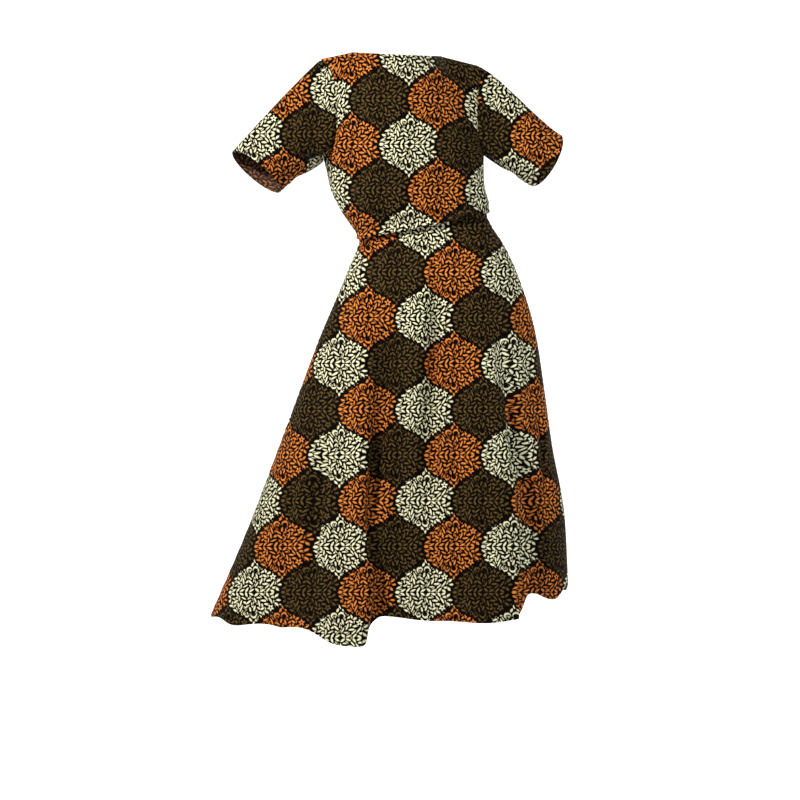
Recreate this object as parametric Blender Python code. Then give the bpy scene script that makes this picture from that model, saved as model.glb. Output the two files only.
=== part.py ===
"""A two-piece skirt set as it is worn: a cropped top with short sleeves over a flared midi skirt.

Metres, +Z up. The front faces -Y and the origin is the middle of the waist.
"""

import math
from collections import namedtuple

import bmesh
import bpy
from mathutils import Vector

# Cloth and seams
WALL = 0.0015  # thickness of every cloth wall
SEAM_GAP = 0.0004  # clear space between two pieces sewn edge to edge
ARMHOLE_GAP = 0.0008
HEM_CLEAR = 0.0006  # clear space between the top's hem and the waistband inside it

# Waist, which both pieces meet
WAIST_HALF_WIDTH = 0.1435
WAIST_DEPTH = 0.100
WAIST_ROLL = 11.5  # degrees that the waist tips, higher at the wearer's left
WAIST_REACH = WAIST_HALF_WIDTH * math.cos(math.radians(WAIST_ROLL))
WAIST_SLOPE = math.tan(math.radians(WAIST_ROLL))
WAISTBAND_HEIGHT = 0.034
WAISTBAND_COLUMNS = 56

# The top's hem lies just over the waistband
TOP_HEM_HEIGHT = -0.005
TOP_HEM_HALF_WIDTH = WAIST_HALF_WIDTH + WALL + HEM_CLEAR
TOP_HEM_DEPTH = WAIST_DEPTH + WALL + HEM_CLEAR
UNDERARM_HEIGHT = 0.1435

# How the worn top leans and turns from the waist to the shoulders, with angles in degrees
Lean = namedtuple("Lean", "height centre_x roll yaw")
TORSO_LEAN = (
    Lean(height=-0.030, centre_x=0.0000, roll=WAIST_ROLL, yaw=0.0),
    Lean(height=0.000, centre_x=0.0000, roll=WAIST_ROLL, yaw=0.0),
    Lean(height=0.016, centre_x=-0.0050, roll=9.7, yaw=0.5),
    Lean(height=0.045, centre_x=-0.0205, roll=5.4, yaw=2.5),
    Lean(height=0.084, centre_x=-0.0340, roll=2.6, yaw=6.0),
    Lean(height=0.144, centre_x=-0.0400, roll=2.1, yaw=9.0),
    Lean(height=0.342, centre_x=-0.0485, roll=-1.5, yaw=10.0),
    Lean(height=0.402, centre_x=-0.0500, roll=-1.5, yaw=10.0),
)

# Rings of the top below the arms
BodyRing = namedtuple("BodyRing", "height half_width front back")
BODY_RINGS = (
    BodyRing(TOP_HEM_HEIGHT, TOP_HEM_HALF_WIDTH, TOP_HEM_DEPTH, TOP_HEM_DEPTH),
    BodyRing(height=0.006, half_width=0.1468, front=0.1040, back=0.1034),
    BodyRing(height=0.020, half_width=0.1525, front=0.1125, back=0.1080),
    BodyRing(height=0.045, half_width=0.1605, front=0.1195, back=0.1120),
    BodyRing(height=0.084, half_width=0.1680, front=0.1240, back=0.1140),
    BodyRing(height=0.117, half_width=0.1715, front=0.1250, back=0.1150),
    BodyRing(height=UNDERARM_HEIGHT, half_width=0.1765, front=0.1240, back=0.1150),
)
LOWER_HEIGHTS = (TOP_HEM_HEIGHT, 0.003, 0.012, 0.023, 0.036, 0.052, 0.072, 0.095, 0.119, UNDERARM_HEIGHT)
UPPER_ROWS = 12
ROW_SPREAD = 0.8  # below 1 it spaces the rows more widely just above the underarm
HALF_COLUMNS = 14  # columns from the centre of a bodice panel to its side
NECK_COLUMNS = 8  # of which this many lie under the neckline

# Neck, shoulders and armholes before the torso leans
NECK_HALF_WIDTH = 0.098
NECK_SHIFT = -0.008
NECK_SIDE_HEIGHT = 0.366
SHOULDER_TIP = Vector((0.174, 0.004, 0.349))
HalfCut = namedtuple(
    "HalfCut", "name side neck_depth neck_height right_armhole left_armhole shoulder_arrive neck_arrive"
)
ArmholePull = namedtuple("ArmholePull", "along up")  # two of them bend an armhole's edge
FRONT_CUT = HalfCut(
    name="top_front",
    side=-1,
    neck_depth=0.074,
    neck_height=0.358,
    right_armhole=(ArmholePull(along=0.70, up=0.11), ArmholePull(along=0.46, up=0.17)),
    left_armhole=(ArmholePull(along=0.22, up=0.06), ArmholePull(along=1.17, up=0.63)),
    shoulder_arrive=Vector((0.0, 0.85, 0.45)),
    neck_arrive=Vector((0.0, 0.45, 0.85)),
)
BACK_CUT = HalfCut(
    name="top_back",
    side=1,
    neck_depth=0.070,
    neck_height=0.367,
    right_armhole=(ArmholePull(along=0.68, up=0.0), ArmholePull(along=0.84, up=0.66)),
    left_armhole=(ArmholePull(along=0.68, up=0.0), ArmholePull(along=0.84, up=0.66)),
    shoulder_arrive=Vector((0.0, -0.85, 0.45)),
    neck_arrive=Vector((0.0, -0.40, 0.85)),
)
CHEST_RISE = 0.19  # how strongly the cloth climbs from the chest
SHOULDER_RISE = 0.13  # and how strongly it arrives at the shoulder
STEEPEST_MITRE = 0.6  # where cloth turns sharply at a seam, its wall is thickened up to 1 / this

# Large soft folds of the top: along is -1 at one side seam and +1 at the other, out is negative in a trough
BodyFold = namedtuple("BodyFold", "side low_along low_height high_along high_height width out")
BODY_FOLDS = (
    # Columns: side, low end along and height, high end along and height, width, out
    BodyFold(-1, -0.72, 0.020, -0.52, 0.150, width=0.080, out=-0.0060),
    BodyFold(-1, -0.46, 0.015, -0.36, 0.110, width=0.060, out=0.0050),
    BodyFold(-1, -0.10, 0.020, -0.16, 0.130, width=0.075, out=-0.0045),
    BodyFold(-1, 0.30, 0.018, 0.22, 0.120, width=0.070, out=-0.0050),
    BodyFold(-1, 0.66, 0.030, 0.48, 0.160, width=0.070, out=-0.0055),
    BodyFold(-1, -0.93, 0.110, -0.66, 0.200, width=0.070, out=-0.0045),
    BodyFold(-1, 0.93, 0.115, 0.68, 0.205, width=0.070, out=-0.0045),
    BodyFold(1, -0.64, 0.020, -0.46, 0.140, width=0.080, out=-0.0060),
    BodyFold(1, -0.20, 0.015, -0.12, 0.150, width=0.070, out=-0.0050),
    BodyFold(1, 0.24, 0.018, 0.16, 0.120, width=0.070, out=-0.0050),
    BodyFold(1, 0.64, 0.025, 0.44, 0.150, width=0.080, out=-0.0055),
)

# Sleeves, named for the wearer's side, with the cuff's place and directions in the worn pose
Sleeve = namedtuple("Sleeve", "name body_side cuff_centre axis up half_height half_depth")
SLEEVES = (
    Sleeve(
        name="sleeve_right",
        body_side=-1,
        cuff_centre=Vector((-0.356, -0.086, 0.110)),
        axis=Vector((-0.601, -0.309, -0.737)),
        up=Vector((-0.814, 0.0, 0.581)),
        half_height=0.066,
        half_depth=0.061,
    ),
    Sleeve(
        name="sleeve_left",
        body_side=1,
        cuff_centre=Vector((0.275, 0.082, 0.140)),
        axis=Vector((0.837, 0.309, -0.451)),
        up=Vector((0.474, 0.0, 0.880)),
        half_height=0.065,
        half_depth=0.062,
    ),
)
SLEEVE_ROWS = 8
Reach = namedtuple("Reach", "onward along")  # how far cloth runs on past the seam, and along the arm
TIP_REACH = Reach(onward=0.060, along=0.055)
SIDE_REACH = Reach(onward=0.012, along=0.105)
UNDERARM_REACH = Reach(onward=0.018, along=0.050)
CUFF_ARRIVE = 0.80  # share of a column's length with which it arrives at the cuff

# Soft folds across a sleeve: turn is 0 at its top, 90 at its front; down is 0 at the seam, 1 at the cuff
SleeveFold = namedtuple("SleeveFold", "turn spread down length out")
SLEEVE_FOLDS = (
    SleeveFold(turn=125, spread=62, down=0.42, length=0.20, out=-0.0050),
    SleeveFold(turn=70, spread=55, down=0.30, length=0.16, out=-0.0035),
    SleeveFold(turn=205, spread=70, down=0.62, length=0.18, out=-0.0045),
    SleeveFold(turn=285, spread=60, down=0.36, length=0.20, out=-0.0045),
)

# Rings of the skirt from waist to hem, without its folds: a ring tilts by slope from side to side
SkirtRing = namedtuple("SkirtRing", "down height slope left right front back")
SKIRT_RINGS = (
    SkirtRing(0.000, 0.0, WAIST_SLOPE, -WAIST_REACH, WAIST_REACH, front=WAIST_DEPTH, back=WAIST_DEPTH),
    SkirtRing(0.014, height=-0.0120, slope=0.200, left=-0.1412, right=0.1414, front=0.1002, back=0.1002),
    SkirtRing(0.095, height=-0.0790, slope=0.145, left=-0.1640, right=0.1800, front=0.115, back=0.120),
    SkirtRing(0.170, height=-0.1370, slope=0.114, left=-0.1870, right=0.2080, front=0.129, back=0.137),
    SkirtRing(0.305, height=-0.2480, slope=0.063, left=-0.2310, right=0.2450, front=0.153, back=0.156),
    SkirtRing(0.455, height=-0.3780, slope=0.055, left=-0.2800, right=0.2660, front=0.177, back=0.176),
    SkirtRing(0.605, height=-0.5020, slope=0.049, left=-0.3270, right=0.2830, front=0.198, back=0.198),
    SkirtRing(0.800, height=-0.6740, slope=0.050, left=-0.3950, right=0.3120, front=0.226, back=0.228),
    SkirtRing(1.000, height=-0.8370, slope=0.059, left=-0.4690, right=0.3200, front=0.252, back=0.260),
)
SKIRT_DOWNS = (0.0, 0.014, 0.045, 0.08, 0.12, 0.165, 0.22, 0.29, 0.37, 0.46, 0.56, 0.67, 0.78, 0.89, 1.0)
SKIRT_COLUMNS = 60  # in each of its two panels

# Where the cloth of the hem comes from at the waist, in degrees round from the front
Fan = namedtuple("Fan", "hem waist")
CLOTH_FAN = (
    Fan(hem=-180, waist=-180),
    Fan(hem=-90, waist=-90),
    Fan(hem=-29, waist=-58),
    Fan(hem=-8, waist=-36),
    Fan(hem=42, waist=48),
    Fan(hem=90, waist=90),
    Fan(hem=180, waist=180),
)

# Folds of the skirt: place of the crest in hem degrees at its top and at the hem, width of each flank,
# how far it stands out, leans round and hangs down at its deepest, and the stretch over which it deepens
Fold = namedtuple("Fold", "top hem before after out lean drop start deepest")
SKIRT_FOLDS = (
    Fold(top=-24, hem=-27, before=10, after=8, out=-0.004, lean=0, drop=-0.015, start=0.30, deepest=1),
    Fold(top=-11, hem=-13.5, before=21, after=8.5, out=0.066, lean=0.044, drop=0.012, start=0.00, deepest=1),
    Fold(top=2, hem=-2, before=7, after=16, out=-0.010, lean=0, drop=-0.030, start=0.25, deepest=1),
    Fold(top=14, hem=13, before=14, after=15, out=-0.004, lean=0, drop=-0.014, start=0.30, deepest=1),
    Fold(top=24, hem=4, before=17, after=19, out=-0.013, lean=0, drop=0.0, start=0.00, deepest=0.42),
    Fold(top=38, hem=34, before=30, after=8.5, out=0.052, lean=0.026, drop=-0.008, start=0.10, deepest=1),
    Fold(top=56, hem=52, before=9, after=17, out=-0.016, lean=0, drop=-0.036, start=0.15, deepest=1),
    Fold(top=82, hem=80, before=22, after=16, out=0.003, lean=0, drop=-0.033, start=0.20, deepest=1),
    Fold(top=-68, hem=-70, before=15, after=15, out=-0.003, lean=0, drop=-0.010, start=0.20, deepest=1),
    Fold(top=-40, hem=-43, before=20, after=18, out=-0.014, lean=0, drop=-0.011, start=0.16, deepest=1),
    Fold(top=103, hem=103, before=10, after=12, out=-0.030, lean=0, drop=-0.014, start=0.10, deepest=1),
    Fold(top=122, hem=122, before=13, after=11, out=0.036, lean=0.010, drop=0.004, start=0.06, deepest=1),
    Fold(top=147, hem=149, before=14, after=9, out=0.048, lean=0.022, drop=0.010, start=0.03, deepest=1),
    Fold(top=177, hem=178, before=15, after=14, out=0.034, lean=0, drop=0.004, start=0.12, deepest=1),
    Fold(top=-151, hem=-150, before=11, after=15, out=0.052, lean=-0.020, drop=0.012, start=0.04, deepest=1),
    Fold(top=-124, hem=-122, before=12, after=13, out=0.036, lean=-0.008, drop=0.002, start=0.09, deepest=1),
    Fold(top=-103, hem=-102, before=13, after=11, out=-0.028, lean=0, drop=-0.010, start=0.12, deepest=1),
)
FOLD_START = 0.15  # how softly a fold sets in, before it deepens evenly as a flute of hanging cloth does


def slope_at(keys, values, k):
    """The slope of a table's curve at one row, flat at a turning point so that the curve never overshoots."""
    rises = [(values[i + 1] - values[i]) / (keys[i + 1] - keys[i]) for i in range(len(keys) - 1)]
    if k == 0 or k == len(keys) - 1:
        return rises[min(k, len(rises) - 1)]
    before, after = rises[k - 1], rises[k]
    return 2 * before * after / (before + after) if before * after > 0 else 0.0


def between(table, place):
    """The table's row at a place between two of its rows, on a smooth curve through them."""
    keys = [row[0] for row in table]
    place = min(max(place, keys[0]), keys[-1])
    k = max(i for i in range(len(keys) - 1) if keys[i] <= place)
    span = keys[k + 1] - keys[k]
    t = (place - keys[k]) / span
    found = [place]
    for column in range(1, len(table[0])):
        values = [row[column] for row in table]
        leave = slope_at(keys, values, k) * span
        arrive = slope_at(keys, values, k + 1) * span
        found.append(hermite(values[k], leave, values[k + 1], arrive, t))
    return type(table[0])(*found)


def hermite(start, leave, end, arrive, t):
    """A curve from start to end that leaves and arrives with the given tangents."""
    return (
        (2 * t**3 - 3 * t**2 + 1) * start
        + (t**3 - 2 * t**2 + t) * leave
        + (3 * t**2 - 2 * t**3) * end
        + (t**3 - t**2) * arrive
    )


def ease(t):
    """0 to 1 with soft ends."""
    t = min(max(t, 0.0), 1.0)
    return t * t * (3 - 2 * t)


def bell(t):
    """1 at 0, falling softly to 0 at -1 and at 1."""
    return 0.5 + 0.5 * math.cos(math.pi * t) if abs(t) < 1 else 0.0


def posed(point):
    """A point of the upright top, in the lean and turn of the wearer."""
    lean = between(TORSO_LEAN, point.z)
    roll, yaw = math.radians(lean.roll), math.radians(lean.yaw)
    across = point.x * math.cos(roll)
    return Vector(
        (
            lean.centre_x + across * math.cos(yaw) - point.y * math.sin(yaw),
            across * math.sin(yaw) + point.y * math.cos(yaw),
            point.z + point.x * math.sin(roll),
        )
    )


def lower_point(cut, along, height):
    """The bodice below the arms: along is -1 at the wearer's right side seam and +1 at the left."""
    ring = between(BODY_RINGS, height)
    angle = math.radians(90 * along)
    depth = ring.front if cut.side < 0 else ring.back
    return Vector((ring.half_width * math.sin(angle), cut.side * depth * math.cos(angle), height))


def neck_side(sign):
    return Vector((NECK_SHIFT + sign * NECK_HALF_WIDTH, 0.002, NECK_SIDE_HEIGHT))


def top_edge(cut, along):
    """The neckline in the middle of a panel, then the shoulder seams, and how the cloth arrives there."""
    neck_share = NECK_COLUMNS / HALF_COLUMNS
    if abs(along) <= neck_share:
        share = along / neck_share
        curve = 1 - share**2
        point = neck_side(share)
        point.y += cut.side * cut.neck_depth * curve
        point.z += (cut.neck_height - NECK_SIDE_HEIGHT) * curve
        return point, cut.shoulder_arrive.lerp(cut.neck_arrive, curve)
    sign = math.copysign(1, along)
    tip = Vector((sign * SHOULDER_TIP.x, SHOULDER_TIP.y, SHOULDER_TIP.z))
    share = (abs(along) - neck_share) / (1 - neck_share)
    return neck_side(sign).lerp(tip, share), cut.shoulder_arrive


def armhole_place(pulls, rise):
    """Where an armhole's edge runs on the bodice, from the underarm at rise 0 to the shoulder's tip at 1."""
    fall = 1 - rise
    weights = (fall**3, 3 * rise * fall**2, 3 * rise**2 * fall, rise**3)
    underarm, tip = ArmholePull(along=1.0, up=0.0), ArmholePull(along=1.0, up=1.0)
    places = (underarm, *pulls, tip)
    return ArmholePull(*(sum(w * place[i] for w, place in zip(weights, places)) for i in (0, 1)))


def upper_point(cut, along, up):
    """The bodice from the underarm, up 0, to the shoulder seam or neckline, up 1."""
    start = lower_point(cut, along, UNDERARM_HEIGHT)
    below = lower_point(cut, along, UNDERARM_HEIGHT - WALL)
    end, arrive = top_edge(cut, along)
    return hermite(start, (start - below) / WALL * CHEST_RISE, end, arrive * SHOULDER_RISE, up)


def fold_depth(cut, along, height, half_width):
    """How far the bodice's soft folds move the cloth out at a place."""
    depth = 0.0
    for fold in BODY_FOLDS:
        if fold.side != cut.side:
            continue
        share = (height - fold.low_height) / (fold.high_height - fold.low_height)
        centre = fold.low_along + (fold.high_along - fold.low_along) * share
        across = (along - centre) * half_width / (fold.width / 2)
        depth += fold.out * bell(across) * bell(2 * share - 1)
    return depth


def bodice_grid(cut):
    """Rows of points from the hem to the shoulders, each from the wearer's right to the left."""
    columns = [k / HALF_COLUMNS for k in range(-HALF_COLUMNS, HALF_COLUMNS + 1)]
    alongs = [columns] * len(LOWER_HEIGHTS)
    upright = [[lower_point(cut, along, height) for along in columns] for height in LOWER_HEIGHTS]
    for k in range(1, UPPER_ROWS + 1):
        rise = (k / UPPER_ROWS) ** ROW_SPREAD
        right, left = armhole_place(cut.right_armhole, rise), armhole_place(cut.left_armhole, rise)
        edges = [right if column < 0 else left for column in columns]
        alongs.append([column * edge.along for column, edge in zip(columns, edges)])
        ups = [rise + (edge.up - rise) * abs(column) ** 3 for column, edge in zip(columns, edges)]
        upright.append([upper_point(cut, along, up) for along, up in zip(alongs[-1], ups)])
    normals = grid_normals(upright)
    for row, directions, places in zip(upright, normals, alongs):
        for point, out, along in zip(row, directions, places):
            point += out * fold_depth(cut, along, point.z, BODY_RINGS[-1].half_width)
    return [[posed(point) for point in row] for row in upright]


def grid_normals(rows, closed=False):
    """Unit normals of a grid of points, pointing away from its middle."""
    middle = sum((p for row in rows for p in row), Vector()) / sum(len(row) for row in rows)
    count = len(rows[0])
    normals = []
    for r, row in enumerate(rows):
        line = []
        for c in range(count):
            before, after = (c - 1, (c + 1) % count) if closed else (max(c - 1, 0), min(c + 1, count - 1))
            across = row[after] - row[before]
            upward = rows[min(r + 1, len(rows) - 1)][c] - rows[max(r - 1, 0)][c]
            line.append(across.cross(upward).normalized())
        normals.append(line)
    outward = sum(
        n.dot(Vector((p.x - middle.x, p.y - middle.y, 0)))
        for row, line in zip(rows, normals)
        for p, n in zip(row, line)
    )
    return normals if outward > 0 else [[-n for n in line] for line in normals]


class Panel:
    """One cut piece of cloth: the middle of its wall as rows of points, with the normals of the cloth."""

    def __init__(self, name, rows, closed=False):
        self.name = name
        self.rows = rows
        self.closed = closed
        self.normals = grid_normals(rows, closed)


def sew(ones, others, inside, gap=SEAM_GAP, closed=False):
    """Joins two edges so that the ends of their walls stay parallel, with the gap between them.

    Each edge is a list with the places, as (panel, row, column), that meet at one point of the seam,
    and inside lists a place within the other piece beside each point.
    """
    points = [places[0][0].rows[places[0][1]][places[0][2]].copy() for places in others]
    for k, point in enumerate(points):
        before = points[k - 1] if closed or k else point
        after = points[(k + 1) % len(points)] if closed or k + 1 < len(points) else point
        meeting = [panel.normals[r][c] for panel, r, c in ones[k] + others[k]]
        shared = sum(meeting, Vector()).normalized()
        away = (after - before).cross(shared).normalized()
        panel, r, c = inside[k]
        if away.dot(panel.rows[r][c] - point) < 0:
            away.negate()
        mitre = max(min(shared.dot(normal.normalized()) for normal in meeting), STEEPEST_MITRE)
        for places, way in ((ones[k], -away), (others[k], away)):
            for panel, r, c in places:
                panel.rows[r][c] = panel.rows[r][c] + way * gap / 2
                panel.normals[r][c] = shared / mitre


def cloth_solid(panel, colour):
    """The panel as a closed wall, half its thickness to each side of the points."""
    mesh = bmesh.new()
    skins = []
    for side in (0.5, -0.5):
        skins.append(
            [
                [mesh.verts.new(p + n * side * WALL) for p, n in zip(row, line)]
                for row, line in zip(panel.rows, panel.normals)
            ]
        )
    row_count, count = len(panel.rows), len(panel.rows[0])
    steps = range(count) if panel.closed else range(count - 1)
    for skin in skins:
        for r in range(row_count - 1):
            for c in steps:
                d = (c + 1) % count
                mesh.faces.new((skin[r][c], skin[r][d], skin[r + 1][d], skin[r + 1][c]))
    outer, inner = skins
    for r in (0, row_count - 1):
        for c in steps:
            d = (c + 1) % count
            mesh.faces.new((outer[r][c], outer[r][d], inner[r][d], inner[r][c]))
    if not panel.closed:
        for c in (0, count - 1):
            for r in range(row_count - 1):
                mesh.faces.new((outer[r][c], outer[r + 1][c], inner[r + 1][c], inner[r][c]))
    bmesh.ops.recalc_face_normals(mesh, faces=mesh.faces)
    data = bpy.data.meshes.new(panel.name)
    mesh.to_mesh(data)
    mesh.free()
    data.shade_smooth()
    data.set_sharp_from_angle(angle=math.radians(50))
    data.materials.append(cloth_material(panel.name, colour))
    solid = bpy.data.objects.new(panel.name, data)
    bpy.context.scene.collection.objects.link(solid)
    return solid


def cloth_material(name, colour):
    material = bpy.data.materials.new(name + "_cotton")
    material.use_nodes = True
    shader = material.node_tree.nodes["Principled BSDF"]
    shader.inputs["Base Color"].default_value = (*colour, 1.0)
    shader.inputs["Roughness"].default_value = 0.75
    shader.inputs["Metallic"].default_value = 0.0
    return material


def make_top(colour):
    """Front and back of the top, joined at the sides and shoulders, and its two sleeves."""
    front, back = (Panel(cut.name, bodice_grid(cut)) for cut in (FRONT_CUT, BACK_CUT))
    last_row, last_column = len(front.rows) - 1, 2 * HALF_COLUMNS
    underarm_row = len(LOWER_HEIGHTS) - 1
    sleeves = []
    for sleeve in SLEEVES:
        column = last_column if sleeve.body_side > 0 else 0
        down_front = [[(front, r, column)] for r in range(last_row, underarm_row - 1, -1)]
        up_back = [[(back, r, column)] for r in range(underarm_row, last_row + 1)]
        tip = [down_front[0] + up_back[-1]]
        underarm = [down_front[-1] + up_back[0]]
        armhole = tip + down_front[1:-1] + underarm + up_back[1:-1]
        panel = sleeve_panel(sleeve, [places[0] for places in armhole])
        sleeves.append((panel, armhole))
    rows = range(underarm_row + 1)
    for column, inner in ((0, 1), (last_column, last_column - 1)):
        front_places, back_places = ([[(panel, r, column)] for r in rows] for panel in (front, back))
        sew(front_places, back_places, [(back, r, inner) for r in rows])
    for first in (0, HALF_COLUMNS + NECK_COLUMNS):
        shoulder = range(first, first + HALF_COLUMNS - NECK_COLUMNS + 1)
        front_places, back_places = ([[(panel, last_row, c)] for c in shoulder] for panel in (front, back))
        sew(front_places, back_places, [(back, last_row - 1, c) for c in shoulder])
    for panel, armhole in sleeves:
        sleeve_places = [[(panel, 0, c)] for c in range(len(armhole))]
        inside = [(panel, 1, c) for c in range(len(armhole))]
        sew(armhole, sleeve_places, inside, ARMHOLE_GAP, closed=True)
    for panel in (front, back, *(panel for panel, _ in sleeves)):
        cloth_solid(panel, colour)


def sleeve_panel(sleeve, armhole):
    """A short sleeve from the armhole to its cuff, one column for each point of the armhole."""
    axis = sleeve.axis.normalized()
    up = (sleeve.up - axis * sleeve.up.dot(axis)).normalized()
    forward = axis.cross(up) * sleeve.body_side
    points = [panel.rows[r][c].copy() for panel, r, c in armhole]
    columns = []
    for k, (point, (panel, r, c)) in enumerate(zip(points, armhole)):
        turn = 2 * math.pi * k / len(armhole)
        onward = (points[(k + 1) % len(points)] - points[k - 1]).cross(panel.normals[r][c]).normalized()
        if onward.dot(up + axis) < 0:
            onward.negate()
        top, bottom = max(math.cos(turn), 0) ** 2, max(-math.cos(turn), 0) ** 2
        weights = (top, 1 - top - bottom, bottom)
        reaches = (TIP_REACH, SIDE_REACH, UNDERARM_REACH)
        reach = Reach(*(sum(w * each[i] for w, each in zip(weights, reaches)) for i in (0, 1)))
        across = up * sleeve.half_height * math.cos(turn) + forward * sleeve.half_depth * math.sin(turn)
        cuff = sleeve.cuff_centre + across
        arrive = axis * (cuff - point).length * CUFF_ARRIVE
        leave = onward * reach.onward + axis * reach.along
        columns.append([hermite(point, leave, cuff, arrive, r / SLEEVE_ROWS) for r in range(SLEEVE_ROWS + 1)])
    rows = [[column[r] for column in columns] for r in range(SLEEVE_ROWS + 1)]
    normals = grid_normals(rows, closed=True)
    for r in range(1, SLEEVE_ROWS + 1):
        for c, point in enumerate(rows[r]):
            point += normals[r][c] * sleeve_fold_depth(360 * c / len(armhole), r / SLEEVE_ROWS)
    return Panel(sleeve.name, rows, closed=True)


def sleeve_fold_depth(turn, down):
    depth = 0.0
    for fold in SLEEVE_FOLDS:
        away = (turn - fold.turn + 180) % 360 - 180
        depth += fold.out * bell(away / fold.spread) * bell((down - fold.down) / fold.length)
    return depth


def waist_angle(hem_angle):
    """Where a line of the skirt's cloth starts at the waist, in degrees round from the front."""
    for low, high in zip(CLOTH_FAN, CLOTH_FAN[1:]):
        if hem_angle <= high.hem:
            share = (hem_angle - low.hem) / (high.hem - low.hem)
            return low.waist + (high.waist - low.waist) * share
    return hem_angle


def fold_strength(fold, down):
    """How deep a fold of the skirt is at a height, from 0 to 1."""
    growth = (down - fold.start) / (fold.deepest - fold.start)
    if fold.deepest < 1:
        return bell(growth - 1)
    return growth**2 / (growth + FOLD_START) * (1 + FOLD_START) if growth > 0 else 0.0


def skirt_point(hem_angle, down):
    """A point of the skirt, at degrees round the hem from its front and down 0 at the waist, 1 at the hem."""
    turn = (hem_angle + 180) % 360 - 180
    ring = between(SKIRT_RINGS, down)
    angle = math.radians(waist_angle(turn) + (turn - waist_angle(turn)) * ease(down))
    half = (ring.right - ring.left) / 2
    depth = ring.front if math.cos(angle) > 0 else ring.back
    x = (ring.right + ring.left) / 2 + half * math.sin(angle)
    y = -depth * math.cos(angle)
    out = Vector((math.sin(angle) / half, -math.cos(angle) / depth, 0)).normalized()
    onward = Vector((-out.y, out.x, 0))
    drop = 0.0
    for fold in SKIRT_FOLDS:
        strength = fold_strength(fold, down)
        away = (turn - fold.top - (fold.hem - fold.top) * down + 180) % 360 - 180
        share = bell(away / (fold.before if away < 0 else fold.after)) * strength
        x += (out.x * fold.out + onward.x * fold.lean * strength) * share
        y += (out.y * fold.out + onward.y * fold.lean * strength) * share
        drop += fold.drop * share * strength
    return Vector((x, y, ring.height + ring.slope * x - drop))


def even_hem_angles(first, last, count):
    """Hem angles that cut one panel's hem into equal lengths of cloth."""
    fine = [first + (last - first) * k / 720 for k in range(721)]
    points = [skirt_point(angle, 1.0) for angle in fine]
    lengths = [0.0]
    for before, after in zip(points, points[1:]):
        lengths.append(lengths[-1] + (after - before).length)
    angles = []
    k = 0
    for step in range(count + 1):
        goal = lengths[-1] * step / count
        while k < 719 and lengths[k + 1] < goal:
            k += 1
        share = (goal - lengths[k]) / (lengths[k + 1] - lengths[k])
        angles.append(fine[k] + (fine[k + 1] - fine[k]) * min(share, 1.0))
    return angles


def make_skirt(colour):
    """Front and back of the skirt, joined at the sides."""
    panels = []
    for name, first, last in (("skirt_front", -90, 90), ("skirt_back", 90, 270)):
        angles = even_hem_angles(first, last, SKIRT_COLUMNS)
        panels.append(Panel(name, [[skirt_point(angle, down) for angle in angles] for down in SKIRT_DOWNS]))
    front, back = panels
    rows = range(len(SKIRT_DOWNS))
    for front_column, back_column, inner in ((SKIRT_COLUMNS, 0, 1), (0, SKIRT_COLUMNS, SKIRT_COLUMNS - 1)):
        ones = [[(front, r, front_column)] for r in rows]
        others = [[(back, r, back_column)] for r in rows]
        sew(ones, others, [(back, r, inner) for r in rows])
    for panel in panels:
        cloth_solid(panel, colour)


def make_waistband(colour):
    """The skirt's waistband, which the top's hem hides."""
    roll = math.radians(WAIST_ROLL)
    right = Vector((math.cos(roll), 0, math.sin(roll)))
    upward = Vector((-math.sin(roll), 0, math.cos(roll)))
    rows = []
    for height in (SEAM_GAP, WAISTBAND_HEIGHT / 2, WAISTBAND_HEIGHT):
        row = []
        for k in range(WAISTBAND_COLUMNS):
            angle = 2 * math.pi * k / WAISTBAND_COLUMNS
            across = right * WAIST_HALF_WIDTH * math.sin(angle)
            row.append(across + Vector((0, -WAIST_DEPTH * math.cos(angle), 0)) + upward * height)
        rows.append(row)
    cloth_solid(Panel("waistband", rows, closed=True), colour)


for leftover in list(bpy.data.objects):
    bpy.data.objects.remove(leftover)

PRINT_COLOUR = (0.20, 0.11, 0.04)  # the print's colours as one, seen from far away
make_top(PRINT_COLOUR)
make_skirt(PRINT_COLOUR)
make_waistband(PRINT_COLOUR)
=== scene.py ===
import math

import bpy
import numpy as np
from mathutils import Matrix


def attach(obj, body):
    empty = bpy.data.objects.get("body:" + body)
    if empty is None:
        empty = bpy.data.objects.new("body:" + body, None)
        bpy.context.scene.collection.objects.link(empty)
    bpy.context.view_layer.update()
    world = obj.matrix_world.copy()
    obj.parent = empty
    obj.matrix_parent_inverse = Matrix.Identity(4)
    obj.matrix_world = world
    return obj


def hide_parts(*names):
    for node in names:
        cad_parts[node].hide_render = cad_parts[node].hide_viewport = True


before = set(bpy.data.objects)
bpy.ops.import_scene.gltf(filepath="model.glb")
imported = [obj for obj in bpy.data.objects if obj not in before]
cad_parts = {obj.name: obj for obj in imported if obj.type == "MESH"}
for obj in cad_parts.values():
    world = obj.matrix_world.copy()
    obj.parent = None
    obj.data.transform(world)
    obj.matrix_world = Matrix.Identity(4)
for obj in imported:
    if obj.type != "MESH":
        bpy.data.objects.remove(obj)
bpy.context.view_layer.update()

print("frame loaded, nodes:", ", ".join(sorted(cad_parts)))

# How the garment is looked at. The print of the front is laid out as it shows from here.
sight = {
    "distance": 3.63,
    "x": -0.066,
    "z": 0.0146,
    "downward": 4.05,  # degrees
    "lens": 74.56,
    "sensor": 36,
    "shift": (0.009, -0.0825),  # puts the garment where it stands in the picture, shares of its width
    "wide": 1.76,  # what the picture's width shows at the waist, in metres
    "middle": (-0.0506, -0.392),  # of the picture, seen from the waist's middle, in metres
}

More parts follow.
